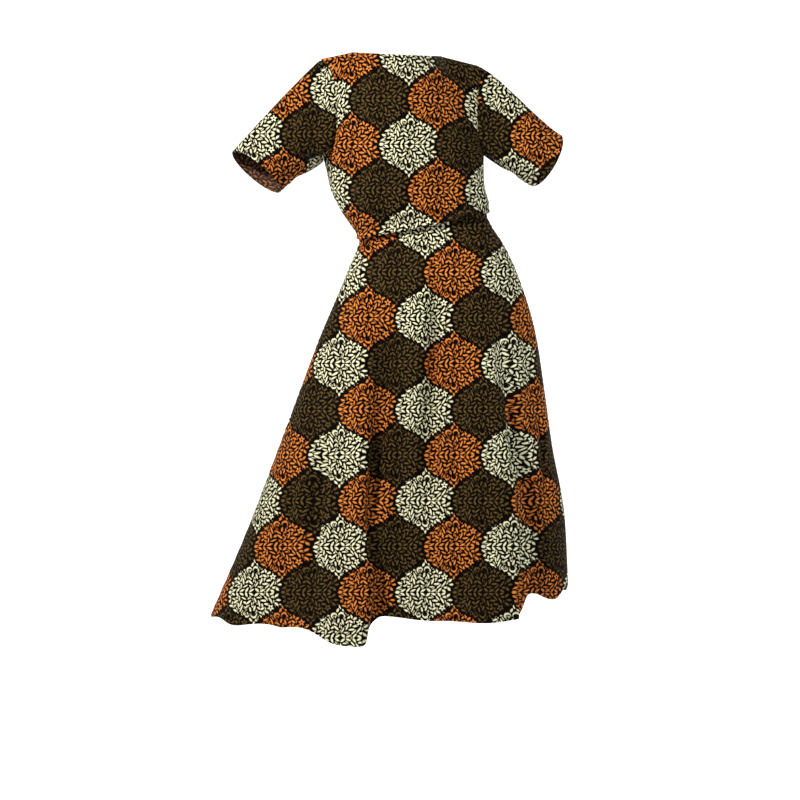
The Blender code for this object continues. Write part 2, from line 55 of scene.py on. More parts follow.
# Cloth in general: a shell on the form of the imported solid
cloth = {
    "thickness": 0.0007,
    "rim": 0.45,  # how far the rounded edge stands out, of its thickness
    "hemExtra": 0.0005,  # what a turned-up hem adds on the inside
    "hemLine": 0.0003,  # how far a row of stitches draws the cloth in
    "seamDip": 0.0006,
    "seamWidth": 0.0045,
    "puckerAt": (0.006, 0.008),  # distance from the seam, and the width over which puckers fade
    "puckerSteps": (0.011, 0.0173),
    "puckerDepth": 0.00045,
    "threadLength": 0.0027,
    "threadGap": 0.0009,
    "threadWidth": 0.00055,
    # rings along a thread: place, width and lift, each as a share
    "threadRings": (
        (-0.50, 0.25, -0.9),
        (-0.36, 0.85, 0.1),
        (0.00, 1.00, 0.4),
        (0.36, 0.85, 0.1),
        (0.50, 0.25, -0.9),
    ),
}


# Curves and grids

def hermite(start, leave, end, arrive, t):
    return (
        (2 * t**3 - 3 * t**2 + 1) * start
        + (t**3 - 2 * t**2 + t) * leave
        + (3 * t**2 - 2 * t**3) * end
        + (t**3 - t**2) * arrive
    )


def soft(t):
    t = np.clip(t, 0, 1)
    return t * t * (3 - 2 * t)


def bell(t):
    # 1 at 0, falling softly to 0 at -1 and at 1
    return np.where(np.abs(t) < 1, 0.5 + 0.5 * np.cos(np.pi * np.clip(t, -1, 1)), 0)


def unit(vectors):
    return vectors / np.maximum(np.linalg.norm(vectors, axis=-1, keepdims=True), 1e-12)


def readTable(rows, places):
    # a table's columns at places along its first one, on smooth curves that are flat at each turning point
    table = np.array(rows, float)
    keys, values = table[:, 0], table[:, 1:]
    places = np.clip(np.asarray(places, float), keys[0], keys[-1])
    rises = np.diff(values, axis=0) / np.diff(keys)[:, None]
    before, after = rises[:-1], rises[1:]
    sameWay = before * after > 0
    slopes = np.concatenate([rises[:1], np.zeros_like(before), rises[-1:]])
    slopes[1:-1][sameWay] = (2 * before * after)[sameWay] / (before + after)[sameWay]
    k = np.clip(np.searchsorted(keys, places, side="right") - 1, 0, len(keys) - 2)
    span = (keys[k + 1] - keys[k])[..., None]
    t = (places - keys[k])[..., None] / span
    return np.moveaxis(hermite(values[k], slopes[k] * span, values[k + 1], slopes[k + 1] * span, t), -1, 0)


def spread(values, count):
    # the values with more in between, so that there are count of them
    return np.interp(np.linspace(0, len(values) - 1, count), range(len(values)), values)


def gridNormals(grid, closed=False):
    # normals of rows of points, pointing out of the garment
    across = np.roll(grid, -1, axis=1) - np.roll(grid, 1, axis=1) if closed else np.gradient(grid, axis=1)
    normals = unit(np.cross(across, np.gradient(grid, axis=0)))
    away = grid - grid.mean(axis=(0, 1))
    return normals if (normals * away)[..., :2].sum() > 0 else -normals


def runningSum(steps, axis=0):
    # sums from 0 on, down the rows or across the columns
    start = np.zeros_like(np.take(steps, [0], axis=axis))
    return np.concatenate([start, np.cumsum(steps, axis=axis)], axis=axis)


def stepLengths(points, axis=0):
    return np.linalg.norm(np.diff(points, axis=axis), axis=-1)


def lengthAlong(points):
    return runningSum(stepLengths(points))


def edgeDistances(grid):
    # metres of cloth from each point to the first row, the last row, the first column and the last column
    down, across = runningSum(stepLengths(grid)), runningSum(stepLengths(grid, 1), 1)
    return down, down[-1:] - down, across, across[:, -1:] - across


def lessAtSides(columns):
    # 1 in the middle of a panel, where columns are 0, and 0.2 at its sides, where they are -1 and 1
    return 1 - 0.8 * columns**4


def shownAt(points):
    # where points show in the picture, in metres from the waist's middle
    downward = math.radians(sight["downward"])
    ahead, above = points[..., 1] + sight["distance"], points[..., 2] - sight["z"]
    depth = ahead * math.cos(downward) - above * math.sin(downward)
    upward = ahead * math.sin(downward) + above * math.cos(downward)
    grow = sight["lens"] / sight["sensor"] / depth
    x = sight["middle"][0] + sight["wide"] * ((points[..., 0] - sight["x"]) * grow - sight["shift"][0])
    z = sight["middle"][1] + sight["wide"] * (upward * grow - sight["shift"][1])
    return x, z


# How the print lies on the front
lay = {
    "least": 0.75,  # of the cloth's width: the least print that it gets where the body turns away
    "leastInFolds": 0.38,  # the same on the flanks of folds
    "evenOut": 30,  # columns on each side over which a fold's extra print is made up for
}

# A crease's form across its line, in its own widths, and along it, in shares of its length
crease = {
    "flanks": (1.5, 0.8),  # the gentle one, on the left as one looks down along it, and the steep one
    "ridges": (0.5, 0.2),  # heights of the ridges beside these flanks, of the crease's depth
    "ridgeAt": 1.25,
    "ridgeWidth": 1.1,
    "reach": 4,
    "fades": (0.3, 0.45),  # at its start and at its end
    "pieces": 16,  # straight ones, in each crease's line
}


def turnedAway(base, axis, direction, least):
    # how much further the print runs than what shows, along one way of the grid, where the cloth turns away
    shown = np.diff(base, axis=axis)[..., direction]
    way = np.sign(shown.mean())
    extra = np.maximum(least * stepLengths(base, axis) - way * shown, 0) * way
    return runningSum(extra, axis)


def shownPlaces(base, grid, startColumn, startRow):
    # the place of each point on the printed cloth, in metres, upright as seen from the front
    x, z = shownAt(grid)
    wider = turnedAway(base, 1, 0, lay["least"])
    higher = turnedAway(base, 0, 2, lay["least"])
    inFolds = turnedAway(grid, 1, 0, lay["leastInFolds"]) - turnedAway(base, 1, 0, lay["leastInFolds"])
    count = lay["evenOut"]
    window = bell(np.arange(-count, count + 1) / (count + 1))
    padded = np.pad(inFolds, ((0, 0), (count, count)), mode="edge")
    even = np.stack([np.convolve(row, window / window.sum(), mode="valid") for row in padded])
    x = x + wider - wider[:, startColumn:startColumn + 1] + inFolds - even
    z = z + higher - higher[startRow:startRow + 1]
    return np.stack([x, z], axis=-1)


def unrolledPlaces(grid, startColumn, startRow):
    # the place of each point on the printed cloth of a back panel, measured along the cloth
    x, z = grid[..., 0], grid[..., 2]
    down, _, across, _ = edgeDistances(grid)
    way = np.sign(x[startRow, startColumn - 1] - x[startRow, startColumn + 1])
    upward = np.sign(z[-1, startColumn] - z[0, startColumn])
    x = -x[startRow, startColumn] + way * (across - across[:, startColumn:startColumn + 1])
    z = z[startRow, startColumn] + upward * (down - down[startRow:startRow + 1])
    return np.stack([x, z], axis=-1)


def printPlaces(base, grid, side, startColumn, startRow):
    if side > 0:
        return unrolledPlaces(grid, startColumn, startRow)
    return shownPlaces(base, grid, startColumn, startRow)


def creased(places, creases):
    # height of the creases at each place: soft troughs between two low ridges of unequal height
    height = np.zeros(places.shape[:2])
    t = np.linspace(0, 1, crease["pieces"] + 1)[:, None]
    fadeIn, fadeOut = crease["fades"]
    ridgeAt, ridgeWidth = crease["ridgeAt"], crease["ridgeWidth"]
    for x0, z0, x1, z1, x2, z2, width, depth in creases:
        start, bend, end = np.array([x0, z0]), np.array([x1, z1]), np.array([x2, z2])
        line = start * (1 - t) ** 2 + bend * 2 * t * (1 - t) + end * t**2
        reach = crease["reach"] * width
        near = np.all((places > line.min(0) - reach) & (places < line.max(0) + reach), axis=-1)
        spots = places[near]
        best = np.full(len(spots), 9.0)
        signed, share = np.zeros(len(spots)), np.zeros(len(spots))
        for k in range(len(line) - 1):
            way = line[k + 1] - line[k]
            along = ((spots - line[k]) @ way) / (way @ way)
            off = spots - line[k] - np.clip(along, 0, 1)[:, None] * way
            far = np.hypot(off[:, 0], off[:, 1])
            closer = far < best
            best = np.where(closer, far, best)
            turn = np.sign(way[0] * off[:, 1] - way[1] * off[:, 0])
            signed = np.where(closer, far * turn, signed)
            share = np.where(closer, (k + np.clip(along, 0, 1)) / (len(line) - 1), share)
        fade = soft(share / fadeIn) * soft((1 - share) / fadeOut) * bell(best / reach)
        across = signed / width / np.where(signed < 0, *crease["flanks"])
        ridges = [bell((across + side * ridgeAt) / ridgeWidth) for side in (1, -1)]
        form = -bell(across) + crease["ridges"][0] * ridges[0] + crease["ridges"][1] * ridges[1]
        height[near] += depth * fade * form
    return height


def seamForm(distance, along):
    # the shallow dip of a seam with the small puckers beside it; both are lengths in metres
    dip = cloth["seamDip"] * bell(distance / cloth["seamWidth"])
    puckerAway, puckerWidth = cloth["puckerAt"]
    beside = bell((distance - puckerAway) / puckerWidth)
    step, otherStep = cloth["puckerSteps"]
    uneven = np.sin(along * 2 * math.pi / step) + 0.6 * np.sin(along * 2 * math.pi / otherStep + 1.3)
    return -dip + cloth["puckerDepth"] * beside * uneven


def makePiece(name, points, faces, look, printed=None, bakeMap=None, inside=None, insideLook=None):
    # a mesh from arrays; printed and bakeMap give two numbers for each corner of each face
    mesh = bpy.data.meshes.new(name)
    mesh.from_pydata(points.tolist(), [], faces.tolist())
    if printed is not None:
        for layerName, corners in (("Cloth", printed), ("OFBake", bakeMap)):
            layer = mesh.uv_layers.new(name=layerName)
            layer.data.foreach_set("uv", corners.astype(np.float32).ravel())
        mesh.uv_layers["Cloth"].active_render = True
    mesh.materials.append(look)
    if inside is not None:
        mesh.materials.append(insideLook)
        mesh.polygons.foreach_set("material_index", inside.astype(np.int32))
    mesh.shade_smooth()
    mesh.validate()
    piece = bpy.data.objects.new(name, mesh)
    bpy.context.scene.collection.objects.link(piece)
    return piece


# Where a shell's faces lie on the map for baking, from its lower edge up, as shares of its height
bakeRows = {
    "outer": 0.004,
    "inner": 0.510,
    "skin": 0.486,  # height of each of these two
    "rims": 0.492,
    "rimStep": 0.008,
    "rimHalf": 0.0035,
}


def clothShell(name, grid, normals, places, closed, turned, looks):
    # a closed thin shell: an outer and an inner skin on the grid, with rounded edges.
    # places has one more column than a closed grid; turned is what hems add on the inside
    rows, columns = grid.shape[:2]
    half = cloth["thickness"] / 2
    outer = grid + normals * half
    inner = grid - normals * (half + turned[..., None])
    across = np.roll(grid, -1, axis=1) - grid
    flip = (np.cross(across[:-1], grid[1:] - grid[:-1]) * normals[:-1])[:, :-1].sum() < 0
    wide = columns if closed else columns - 1
    r, c = np.meshgrid(range(rows - 1), range(wide), indexing="ij")
    quadRows = np.stack([r, r, r + 1, r + 1], axis=-1).reshape(-1, 4)
    quadColumns = np.stack([c, c + 1, c + 1, c], axis=-1).reshape(-1, 4)
    skin = quadRows * columns + quadColumns % columns
    spots = places[quadRows, quadColumns]
    acrossShare = quadColumns / wide
    upShare = bakeRows["skin"] * (1 - quadRows / (rows - 1))
    outerMap = np.stack([acrossShare, bakeRows["outer"] + upShare], axis=-1)
    innerMap = np.stack([acrossShare, bakeRows["inner"] + upShare], axis=-1)
    faces = [skin, skin[:, ::-1] + rows * columns]
    printed = [spots, spots[:, ::-1]]
    bakeMap = [outerMap, innerMap[:, ::-1]]
    inside = [np.zeros(len(skin)), np.ones(len(skin))]
    points = [outer.reshape(-1, 3), inner.reshape(-1, 3)]

    # rims, each a loop of (row, column) in the order in which the skin's edges run
    every = list(range(columns))
    if closed:
        loops = [
            [(0, k) for k in every + [columns]],
            [(rows - 1, k) for k in [columns] + every[::-1]],
        ]
    else:
        around = [(0, k) for k in every] + [(k, columns - 1) for k in range(1, rows)]
        around += [(rows - 1, k) for k in every[-2::-1]] + [(k, 0) for k in range(rows - 2, -1, -1)]
        loops = [around]
    used = 2 * rows * columns
    for loopAt, loop in enumerate(loops):
        loopRows, loopColumns = np.array(loop).T
        atRow, atColumn = loopRows[:-1], loopColumns[:-1] % columns
        edge = grid[atRow, atColumn]
        inRow = np.clip(atRow, 1, rows - 2)
        inColumn = atColumn if closed else np.clip(atColumn, 1, columns - 2)
        away = unit(edge - grid[inRow, inColumn])
        thick = cloth["thickness"] + turned[atRow, atColumn]
        middle = (outer[atRow, atColumn] + inner[atRow, atColumn]) / 2
        points.append(middle + away * thick[:, None] * cloth["rim"])
        count = len(edge)
        here = np.arange(count)
        after = (here + 1) % count
        skinHere = atRow * columns + atColumn
        skinAfter = skinHere[after]
        middleHere, middleAfter = used + here, used + after
        low = rows * columns
        faces.append(np.stack([skinAfter, skinHere, middleHere, middleAfter], axis=-1))
        faces.append(np.stack([middleAfter, middleHere, skinHere + low, skinAfter + low], axis=-1))
        spotHere, spotAfter = places[loopRows[:-1], loopColumns[:-1]], places[loopRows[1:], loopColumns[1:]]
        corner = np.stack([spotAfter, spotHere, spotHere, spotAfter], axis=1)
        printed += [corner, corner]
        start, band = bakeRows["rims"] + bakeRows["rimStep"] * loopAt, bakeRows["rimHalf"]
        x0, x1 = here / count, (here + 1) / count
        for level in (start, start + band):
            y0, y1 = np.full(count, level), np.full(count, level + band)
            four = ((x1, y0), (x0, y0), (x0, y1), (x1, y1))
            bakeMap.append(np.stack([np.stack(spot, axis=-1) for spot in four], axis=1))
            inside.append(np.zeros(count))
        used += count
    faces = np.concatenate(faces)
    printed, bakeMap = np.concatenate(printed), np.concatenate(bakeMap)
    if flip:
        faces, printed, bakeMap = faces[:, ::-1], printed[:, ::-1], bakeMap[:, ::-1]
    piece = makePiece(
        name, np.concatenate(points), faces, looks[0], printed, bakeMap, np.concatenate(inside), looks[1]
    )
    print("cloth", name, len(faces), "faces")
    return piece


def stitches(name, lines, look):
    # short threads that dip into the cloth at both ends, along lines of (points, normals)
    profile = cloth["threadRings"]
    sides = 6  # the two faces that close each end are made for six
    ends = np.array([(0, 1, 2, 3), (0, 3, 4, 5)])
    nearby = 0.001  # along the line, to find its direction
    turn = np.arange(sides) * 2 * math.pi / sides
    points, faces, used = [], [], 0
    for path, normals in lines:
        along = lengthAlong(path)
        count = int(along[-1] / (cloth["threadLength"] + cloth["threadGap"]))
        centres = (np.arange(count) + 0.5) * along[-1] / count
        rings = []
        for share, width, lift in profile:
            at = centres + share * cloth["threadLength"]
            spot = np.stack([np.interp(at, along, path[:, k]) for k in range(3)], axis=-1)
            up = unit(np.stack([np.interp(at, along, normals[:, k]) for k in range(3)], axis=-1))
            ahead = np.stack([np.interp(at + nearby, along, path[:, k]) for k in range(3)], axis=-1)
            behind = np.stack([np.interp(at - nearby, along, path[:, k]) for k in range(3)], axis=-1)
            aside = unit(np.cross(up, ahead - behind))
            radius = cloth["threadWidth"] / 2
            middle = spot + up * radius * lift
            ring = [middle + (up * np.cos(a) + aside * np.sin(a)) * radius * width for a in turn]
            rings.append(np.stack(ring, axis=1))
        threads = np.stack(rings, axis=1)
        points.append(threads.reshape(-1, 3))
        each = np.arange(count)[:, None] * len(profile) * sides + used
        for k in range(len(profile) - 1):
            for s in range(sides):
                a, b = k * sides + s, k * sides + (s + 1) % sides
                faces.append(each + np.array([[a, b, b + sides, a + sides]]))
        faces += [each + order[None, ::-1] for order in ends]
        faces += [each + (len(profile) - 1) * sides + order[None] for order in ends]
        used += count * len(profile) * sides
    piece = makePiece(name, np.concatenate(points), np.concatenate(faces), look)
    print("stitches", name, len(piece.data.polygons), "faces")
    return piece


def fitted(piece, threads, node):
    # cloth and stitches stay with the body, and the cloth takes the place of its solid
    for each in (piece, threads):
        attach(each, "root")
    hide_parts(node)
    return piece, threads


# Shader maths

class Wire:
    # a socket of a material; sums on wires become Math nodes
    def __init__(self, tree, socket):
        self.tree, self.socket = tree, socket

    def node(self, kind, settings, inputs, output=0):
        made = self.tree.nodes.new(kind)
        for key, value in settings.items():
            setattr(made, key, value)
        for key, value in inputs.items():
            if isinstance(value, Wire):
                self.tree.links.new(value.socket, made.inputs[key])
            else:
                made.inputs[key].default_value = value
        return Wire(self.tree, made.outputs[output])

    def maths(self, operation, *values):
        return self.node("ShaderNodeMath", {"operation": operation}, dict(enumerate((self, *values))))

    def __add__(self, other):
        return self.maths("ADD", other)

    __radd__ = __add__

    def __mul__(self, other):
        return self.maths("MULTIPLY", other)

    __rmul__ = __mul__

    def __sub__(self, other):
        return self.maths("SUBTRACT", other)

    def __rsub__(self, other):
        return self.node("ShaderNodeMath", {"operation": "SUBTRACT"}, {0: other, 1: self})

    def __abs__(self):
        return self.maths("ABSOLUTE")

    def times(self, factor, plus):
        return self.maths("MULTIPLY_ADD", factor, plus)

    def least(self, other):
        return self.maths("MINIMUM", other)

    def most(self, other):
        return self.maths("MAXIMUM", other)

    def above(self, low, high):
        # 0 below low, 1 above high, soft between
        return self.node(
            "ShaderNodeMapRange",
            {"interpolation_type": "SMOOTHSTEP"},
            {"Value": self, "From Min": low, "From Max": high},
        )

    def mixed(self, first, second, colour=False):
        # first where the wire is 0 and second where it is 1; the Mix node keeps other sockets for colours
        kind, a, b, output = ("RGBA", 6, 7, 2) if colour else ("FLOAT", 2, 3, 0)
        return self.node("ShaderNodeMix", {"data_type": kind}, {0: self, a: first, b: second}, output)

    def parts(self):
        made = self.node("ShaderNodeSeparateXYZ", {}, {0: self})
        outs = made.socket.node.outputs
        return [Wire(self.tree, outs[k]) for k in range(3)]


# The print: leafy ogee tiles in three colours on black. Lengths are in millimetres of cloth.
leafPrint = {
    "columnStep": 62.9,
    "rowStep": 100.65,
    "tip": 74.0,  # from a tile's middle to its upper tip
    "sideHalf": 26.65,
    "ogee": 0.6,  # how much the slanted edges curve
    "border": (0.7, 0.4),  # black along the slanted and the upright edges
    "scallop": (8.4, 4.6, 3.0),  # step of the leafy edge, then its depth on both kinds of edge
    "point": 3.4,  # how far a tile's middle reaches into the tile on its left
    "leafLean": 44,  # degrees between a stem and its leaves
    "stagger": 0.45,  # of a step between the leaves on the two sides of a stem
    "stemGap": 0.8,
    "shorter": 0.4,  # how much shorter the leaves at a sprig's ends are, as a share
    "gap": 1.8,  # black round each leaf
    "sway": 2.6,  # how far leaves stand to the right in a tile's upper half, and to the left in the lower
    # x, y and heading of a stem, its last leaf, leaf step, leaf length and width, bend
    "sprigs": (
        (-50, 14, 52, 1, 10.6, 13.5, 5.0, 0.006),
        (-30, 13, 118, 2, 10.4, 14.0, 5.0, -0.006),
        (-26, 11, 62, 3, 10.6, 14.5, 5.0, 0.010),
        (-1, 12, 100, 2, 10.6, 14.0, 5.0, 0.006),
        (9, 33, 70, 1, 10.4, 13.5, 5.0, 0.0),
        (8, 13, 32, 3, 10.6, 14.5, 5.0, 0.006),
        (31, 8, 18, 2, 10.4, 14.0, 5.0, 0.010),
    ),
    # x, y, turn, length and width of single leaves
    "leaves": (
        (1, 69, 95, 11, 4.9),
        (-5, 61, 60, 11, 4.9),
        (7, 62, 118, 11, 4.9),
        (24, 48, 92, 12, 4.9),
        (31, 43, 30, 12, 4.9),
        (22, 36, 150, 11, 4.9),
        (53, 26, 42, 12, 4.9),
        (57, 17, 3, 11, 4.9),
        (54, 7, 320, 12, 5.0),
        (-39, 40, 22, 12, 4.9),
        (-50, 30, 10, 12, 4.9),
        (-57, 20, 160, 11, 4.9),
        (-24, 51, 35, 12, 4.9),
        (-58, 1, 0, 13, 4.9),
        (-57, 10, 205, 11, 4.9),
        (-46, 4, 30, 12, 5.0),
        (-35, 5, 58, 12, 4.9),
        (-24, 4, 26, 12, 4.9),
        (-13, 5, 74, 13, 5.0),
        (-2, 4, 34, 12, 4.9),
        (10, 5, 142, 13, 5.0),
        (22, 4, 24, 12, 4.9),
        (34, 5, 60, 12, 4.9),
        (44, 3, 152, 11, 4.9),
    ),
    # x, y and radius of a crescent, then x, y and radius of the round that is cut from it
    "curls": (
        (3, 50, 7.5, 2.1, 47.6, 5.4),
        (-14, 49, 7.0, -12.7, 46.7, 5.0),
        (15, 56, 6.0, 13.0, 54.6, 4.2),
    ),
    "flower": (40, 34, 7.4),  # x, y and radius
    "petals": 5,
    "petalDepth": 0.26,  # of the flower's radius
    "flowerEye": 0.24,
    "inks": ((0.72, 0.268, 0.062), (0.118, 0.077, 0.025), (0.86, 0.84, 0.61)),  # orange, brown, cream
    "edgeInks": ((0.53, 0.150, 0.024), (0.066, 0.042, 0.012), (0.68, 0.66, 0.40)),
    "ground": (0.0035, 0.0018, 0.0010),
    "weaveStep": 0.62,
}


def leafTiles():
    # a node group: for a place on the cloth, ink and leaf core, 0 to 1, and the tile's colour, 0 to 2
    tree = bpy.data.node_groups.new("leaf_tiles", "ShaderNodeTree")
    tree.interface.new_socket("Place", in_out="INPUT", socket_type="NodeSocketVector")
    for name in ("Ink", "Core", "Tile"):
        tree.interface.new_socket(name, in_out="OUTPUT", socket_type="NodeSocketFloat")
    start = Wire(tree, tree.nodes.new("NodeGroupInput").outputs["Place"])
    column, row = leafPrint["columnStep"], leafPrint["rowStep"]
    x, y, _ = start.parts()
    reach = (y * (2 * math.pi / row)).maths("COSINE").most(0.0).maths("POWER", 3.0)
    x = reach.times(leafPrint["point"], x)

    def folded(acrossBy, upBy):
        return (x - acrossBy).maths("WRAP", column, -column), (y - upBy).maths("WRAP", row, -row)

    def edgeHeight(across):
        share = abs(across) * (1 / column)
        bend = (share * (2 * math.pi)).maths("SINE") * (leafPrint["ogee"] / (2 * math.pi))
        return (share + bend).times(leafPrint["sideHalf"] - leafPrint["tip"], leafPrint["tip"])

    evenX, evenY = folded(0.0, 0.0)
    oddX, oddY = folded(column, row)
    inEven = edgeHeight(evenX).maths("GREATER_THAN", abs(evenY))
    tileX, tileY = inEven.mixed(oddX, evenX), inEven.mixed(oddY, evenY)
    tile = ((x - tileX) * (1 / column)).maths("ROUND").maths("FLOORED_MODULO", 3.0)
    up = abs(tileY)
    sway = (tileY * (math.pi / leafPrint["tip"])).maths("SINE")
    spot = start.node("ShaderNodeCombineXYZ", {}, {0: sway.times(-leafPrint["sway"], tileX), 1: up})
    lean = math.radians(leafPrint["leafLean"])

    def placed(x, y, turn):
        inputs = {"Vector": spot, "Location": (x, y, 0), "Rotation": (0, 0, math.radians(turn))}
        return spot.node("ShaderNodeMapping", {"vector_type": "TEXTURE"}, inputs).parts()[:2]

    def sprig(x, y, heading, last, step, length, width, bend):
        along, aside = placed(x, y, heading)
        if bend:
            aside = (along * along).times(-bend, aside)
        skewed = abs(aside).times(-1 / math.tan(lean), along)
        skewed = aside.maths("GREATER_THAN", 0.0).times(leafPrint["stagger"] * step, skewed)
        off = skewed.maths("WRAP", step / 2, -step / 2)
        middle, half = last / 2 * step, (last / 2 + 1.1) * step
        end = (skewed - off).times(1 / half, -middle / half)
        reach = (end * end).times(-leafPrint["shorter"] * length, length)
        out = abs(aside).times(1 / math.sin(lean), -leafPrint["stemGap"])
        leaf = (out * (reach - out)).times(2 * width / length**2, abs(off) * -math.sin(lean))
        return leaf.least(abs(end).times(-20.0, 20.0))

    def leaf(x, y, turn, length, width):
        along, aside = placed(x, y, turn)
        return (along * along).times(-2 * width / length**2, width / 2) - abs(aside)

    def farFrom(x, y):
        return spot.node("ShaderNodeVectorMath", {"operation": "DISTANCE"}, {0: spot, 1: (x, y, 0)}, 1)

    def curl(x, y, radius, cutX, cutY, cutRadius):
        return (radius - farFrom(x, y)).least(farFrom(cutX, cutY) - cutRadius)

    def flower(x, y, size):
        along, aside = placed(x, y, 90)
        turn = aside.maths("ARCTAN2", along) * leafPrint["petals"]
        far, depth = farFrom(x, y), leafPrint["petalDepth"]
        petals = turn.maths("COSINE").times(depth * size, (1 - depth) * size)
        return (petals - far).least(far - leafPrint["flowerEye"] * size)

    charted = [(sprig, row) for row in leafPrint["sprigs"]]
    charted += [(leaf, row) for row in leafPrint["leaves"]]
    charted += [(curl, row) for row in leafPrint["curls"]] + [(flower, leafPrint["flower"])]
    drawn = None
    for make, row in charted:
        one = make(*row)
        drawn = one.most(drawn.least(one.times(-1.0, -leafPrint["gap"]))) if drawn else one
    step, slantDepth, uprightDepth = leafPrint["scallop"]
    slantBorder, uprightBorder = leafPrint["border"]
    onSlant = tileX.maths("PINGPONG", step / 2).times(-2 * slantDepth / step, edgeHeight(tileX) - up)
    onUpright = up.maths("PINGPONG", step / 2).times(-2 * uprightDepth / step, column - abs(tileX))
    drawn = drawn.least(onSlant - slantBorder).least(onUpright - uprightBorder)
    end = tree.nodes.new("NodeGroupOutput")
    for name, wire in (("Ink", drawn.above(-0.25, 0.25)), ("Core", drawn.above(0.2, 2.0)), ("Tile", tile)):
        tree.links.new(wire.socket, end.inputs[name])
    print("leaf print with", len(tree.nodes), "nodes")
    return tree


# How the printed cotton takes light
cotton = {
    "worn": (0.045, 3),  # scale and detail of its broad unevenness
    "fine": (0.9, 2),  # and of its fine one
    "shade": (0.30, 0.16, 0.77),  # what the broad and the fine add to the shade, and the darkest shade
    "rough": (-0.06, 0.10, 0.74),  # what ink and the fine unevenness add to the roughness, and its base
    "relief": (0.5, 0.6),  # heights of the weave and of the fine unevenness
    "reliefStrength": 0.22,
    "reliefDistance": 0.0003,
    "shine": 0.035,
    "insideInkUnderPaintedShade": 0.42,  # how much of the inks' colour the inside keeps; the rest is painted shade, a dark tone mixed in
    # the dark tone of the inside's painted shade
    "insidePaintedShadeTone": 0.055,
    "insideGround": 0.02,
}


def printedCotton(name, tiles, middle, inside=False):
    # middle is (x, z, colour) of one tile's middle; the inside shows the print more dully, and darker with
    # painted shade
    material = bpy.data.materials.new(name)
    material.use_nodes = True
    tree = material.node_tree
    shader = tree.nodes["Principled BSDF"]
    uv = Wire(tree, shader.outputs[0]).node("ShaderNodeUVMap", {"uv_map": "Cloth"}, {})
    inMm = {0: uv, 1: (1000, 1000, 0), 2: (-1000 * middle[0], -1000 * middle[1], 0)}
    place = uv.node("ShaderNodeVectorMath", {"operation": "MULTIPLY_ADD"}, inMm)
    ink = uv.node("ShaderNodeGroup", {"node_tree": tiles}, {"Place": place}, "Ink")
    core, tile = (Wire(tree, ink.socket.node.outputs[k]) for k in ("Core", "Tile"))
    colourAt = (tile + middle[2]).maths("FLOORED_MODULO", 3.0)
    # on the inside the inks are mixed with a dark tone: painted shade inside the garment
    keptUnderPaintedShade = cotton["insideInkUnderPaintedShade"] if inside else 1.0

    def noise(scale, detail):
        inputs = {"Vector": place, "Scale": scale, "Detail": detail}
        return place.node("ShaderNodeTexNoise", {"noise_dimensions": "2D"}, inputs)

    def oneOf(three):
        shades = [(*(keptUnderPaintedShade * c + (1 - keptUnderPaintedShade) * cotton["insidePaintedShadeTone"] for c in ink), 1) for ink in three]
        brownOn, creamOn = colourAt.maths("GREATER_THAN", 0.5), colourAt.maths("GREATER_THAN", 1.5)
        return creamOn.mixed(brownOn.mixed(shades[0], shades[1], True), shades[2], True)

    leafInk = core.mixed(oneOf(leafPrint["edgeInks"]), oneOf(leafPrint["inks"]), True)
    worn, fine = noise(*cotton["worn"]), noise(*cotton["fine"])
    ground = (*(c + (cotton["insideGround"] if inside else 0) for c in leafPrint["ground"]), 1)
    colour = ink.mixed(ground, leafInk, True)
    wornShade, fineShade, darkest = cotton["shade"]
    shade = worn * wornShade + fine * fineShade + darkest
    grey = shade.node("ShaderNodeCombineXYZ", {}, {0: shade, 1: shade, 2: shade})
    colour = colour.node("ShaderNodeVectorMath", {"operation": "MULTIPLY"}, {0: colour, 1: grey})
    tree.links.new(colour.socket, shader.inputs["Base Color"])
    inkRough, fineRough, baseRough = cotton["rough"]
    rough = ink * inkRough + fine * fineRough + baseRough
    tree.links.new(rough.socket, shader.inputs["Roughness"])
    x, y, _ = place.parts()
    thread = 2 * math.pi / leafPrint["weaveStep"]
    weave = (x * thread).maths("SINE") * (y * thread).maths("SINE")
    weaveHeight, fineHeight = cotton["relief"]
    height = weave * weaveHeight + fine * fineHeight
    inputs = {"Strength": cotton["reliefStrength"], "Distance": cotton["reliefDistance"], "Height": height}
    normal = height.node("ShaderNodeBump", {}, inputs)
    tree.links.new(normal.socket, shader.inputs["Normal"])
    shader.inputs["Specular IOR Level"].default_value = cotton["shine"]
    return material


# The thread of all seams and hems
sewing = {
    "dark": (0.012, 0.007, 0.004),
    "pale": (0.045, 0.028, 0.016),
    "grain": 900,
    "rough": (0.2, 0.5),  # what the grain adds, and the base
}


def threadLook():
    material = bpy.data.materials.new("dark_thread")
    material.use_nodes = True
    tree = material.node_tree
    shader = tree.nodes["Principled BSDF"]
    spot = Wire(tree, shader.outputs[0]).node("ShaderNodeTexCoord", {}, {}, "Object")
    grain = spot.node("ShaderNodeTexNoise", {}, {"Vector": spot, "Scale": sewing["grain"], "Detail": 2})
    colour = grain.mixed((*sewing["dark"], 1), (*sewing["pale"], 1), True)
    tree.links.new(colour.socket, shader.inputs["Base Color"])
    tree.links.new(grain.times(*sewing["rough"]).socket, shader.inputs["Roughness"])
    return material


tiles = leafTiles()
thread = threadLook()


def bothSides(name, middle):
    # the second look is the inside: the print duller and darker with painted shade
    return [printedCotton(name, tiles, middle), printedCotton(name + "_inside_painted_shade", tiles, middle, inside=True)]


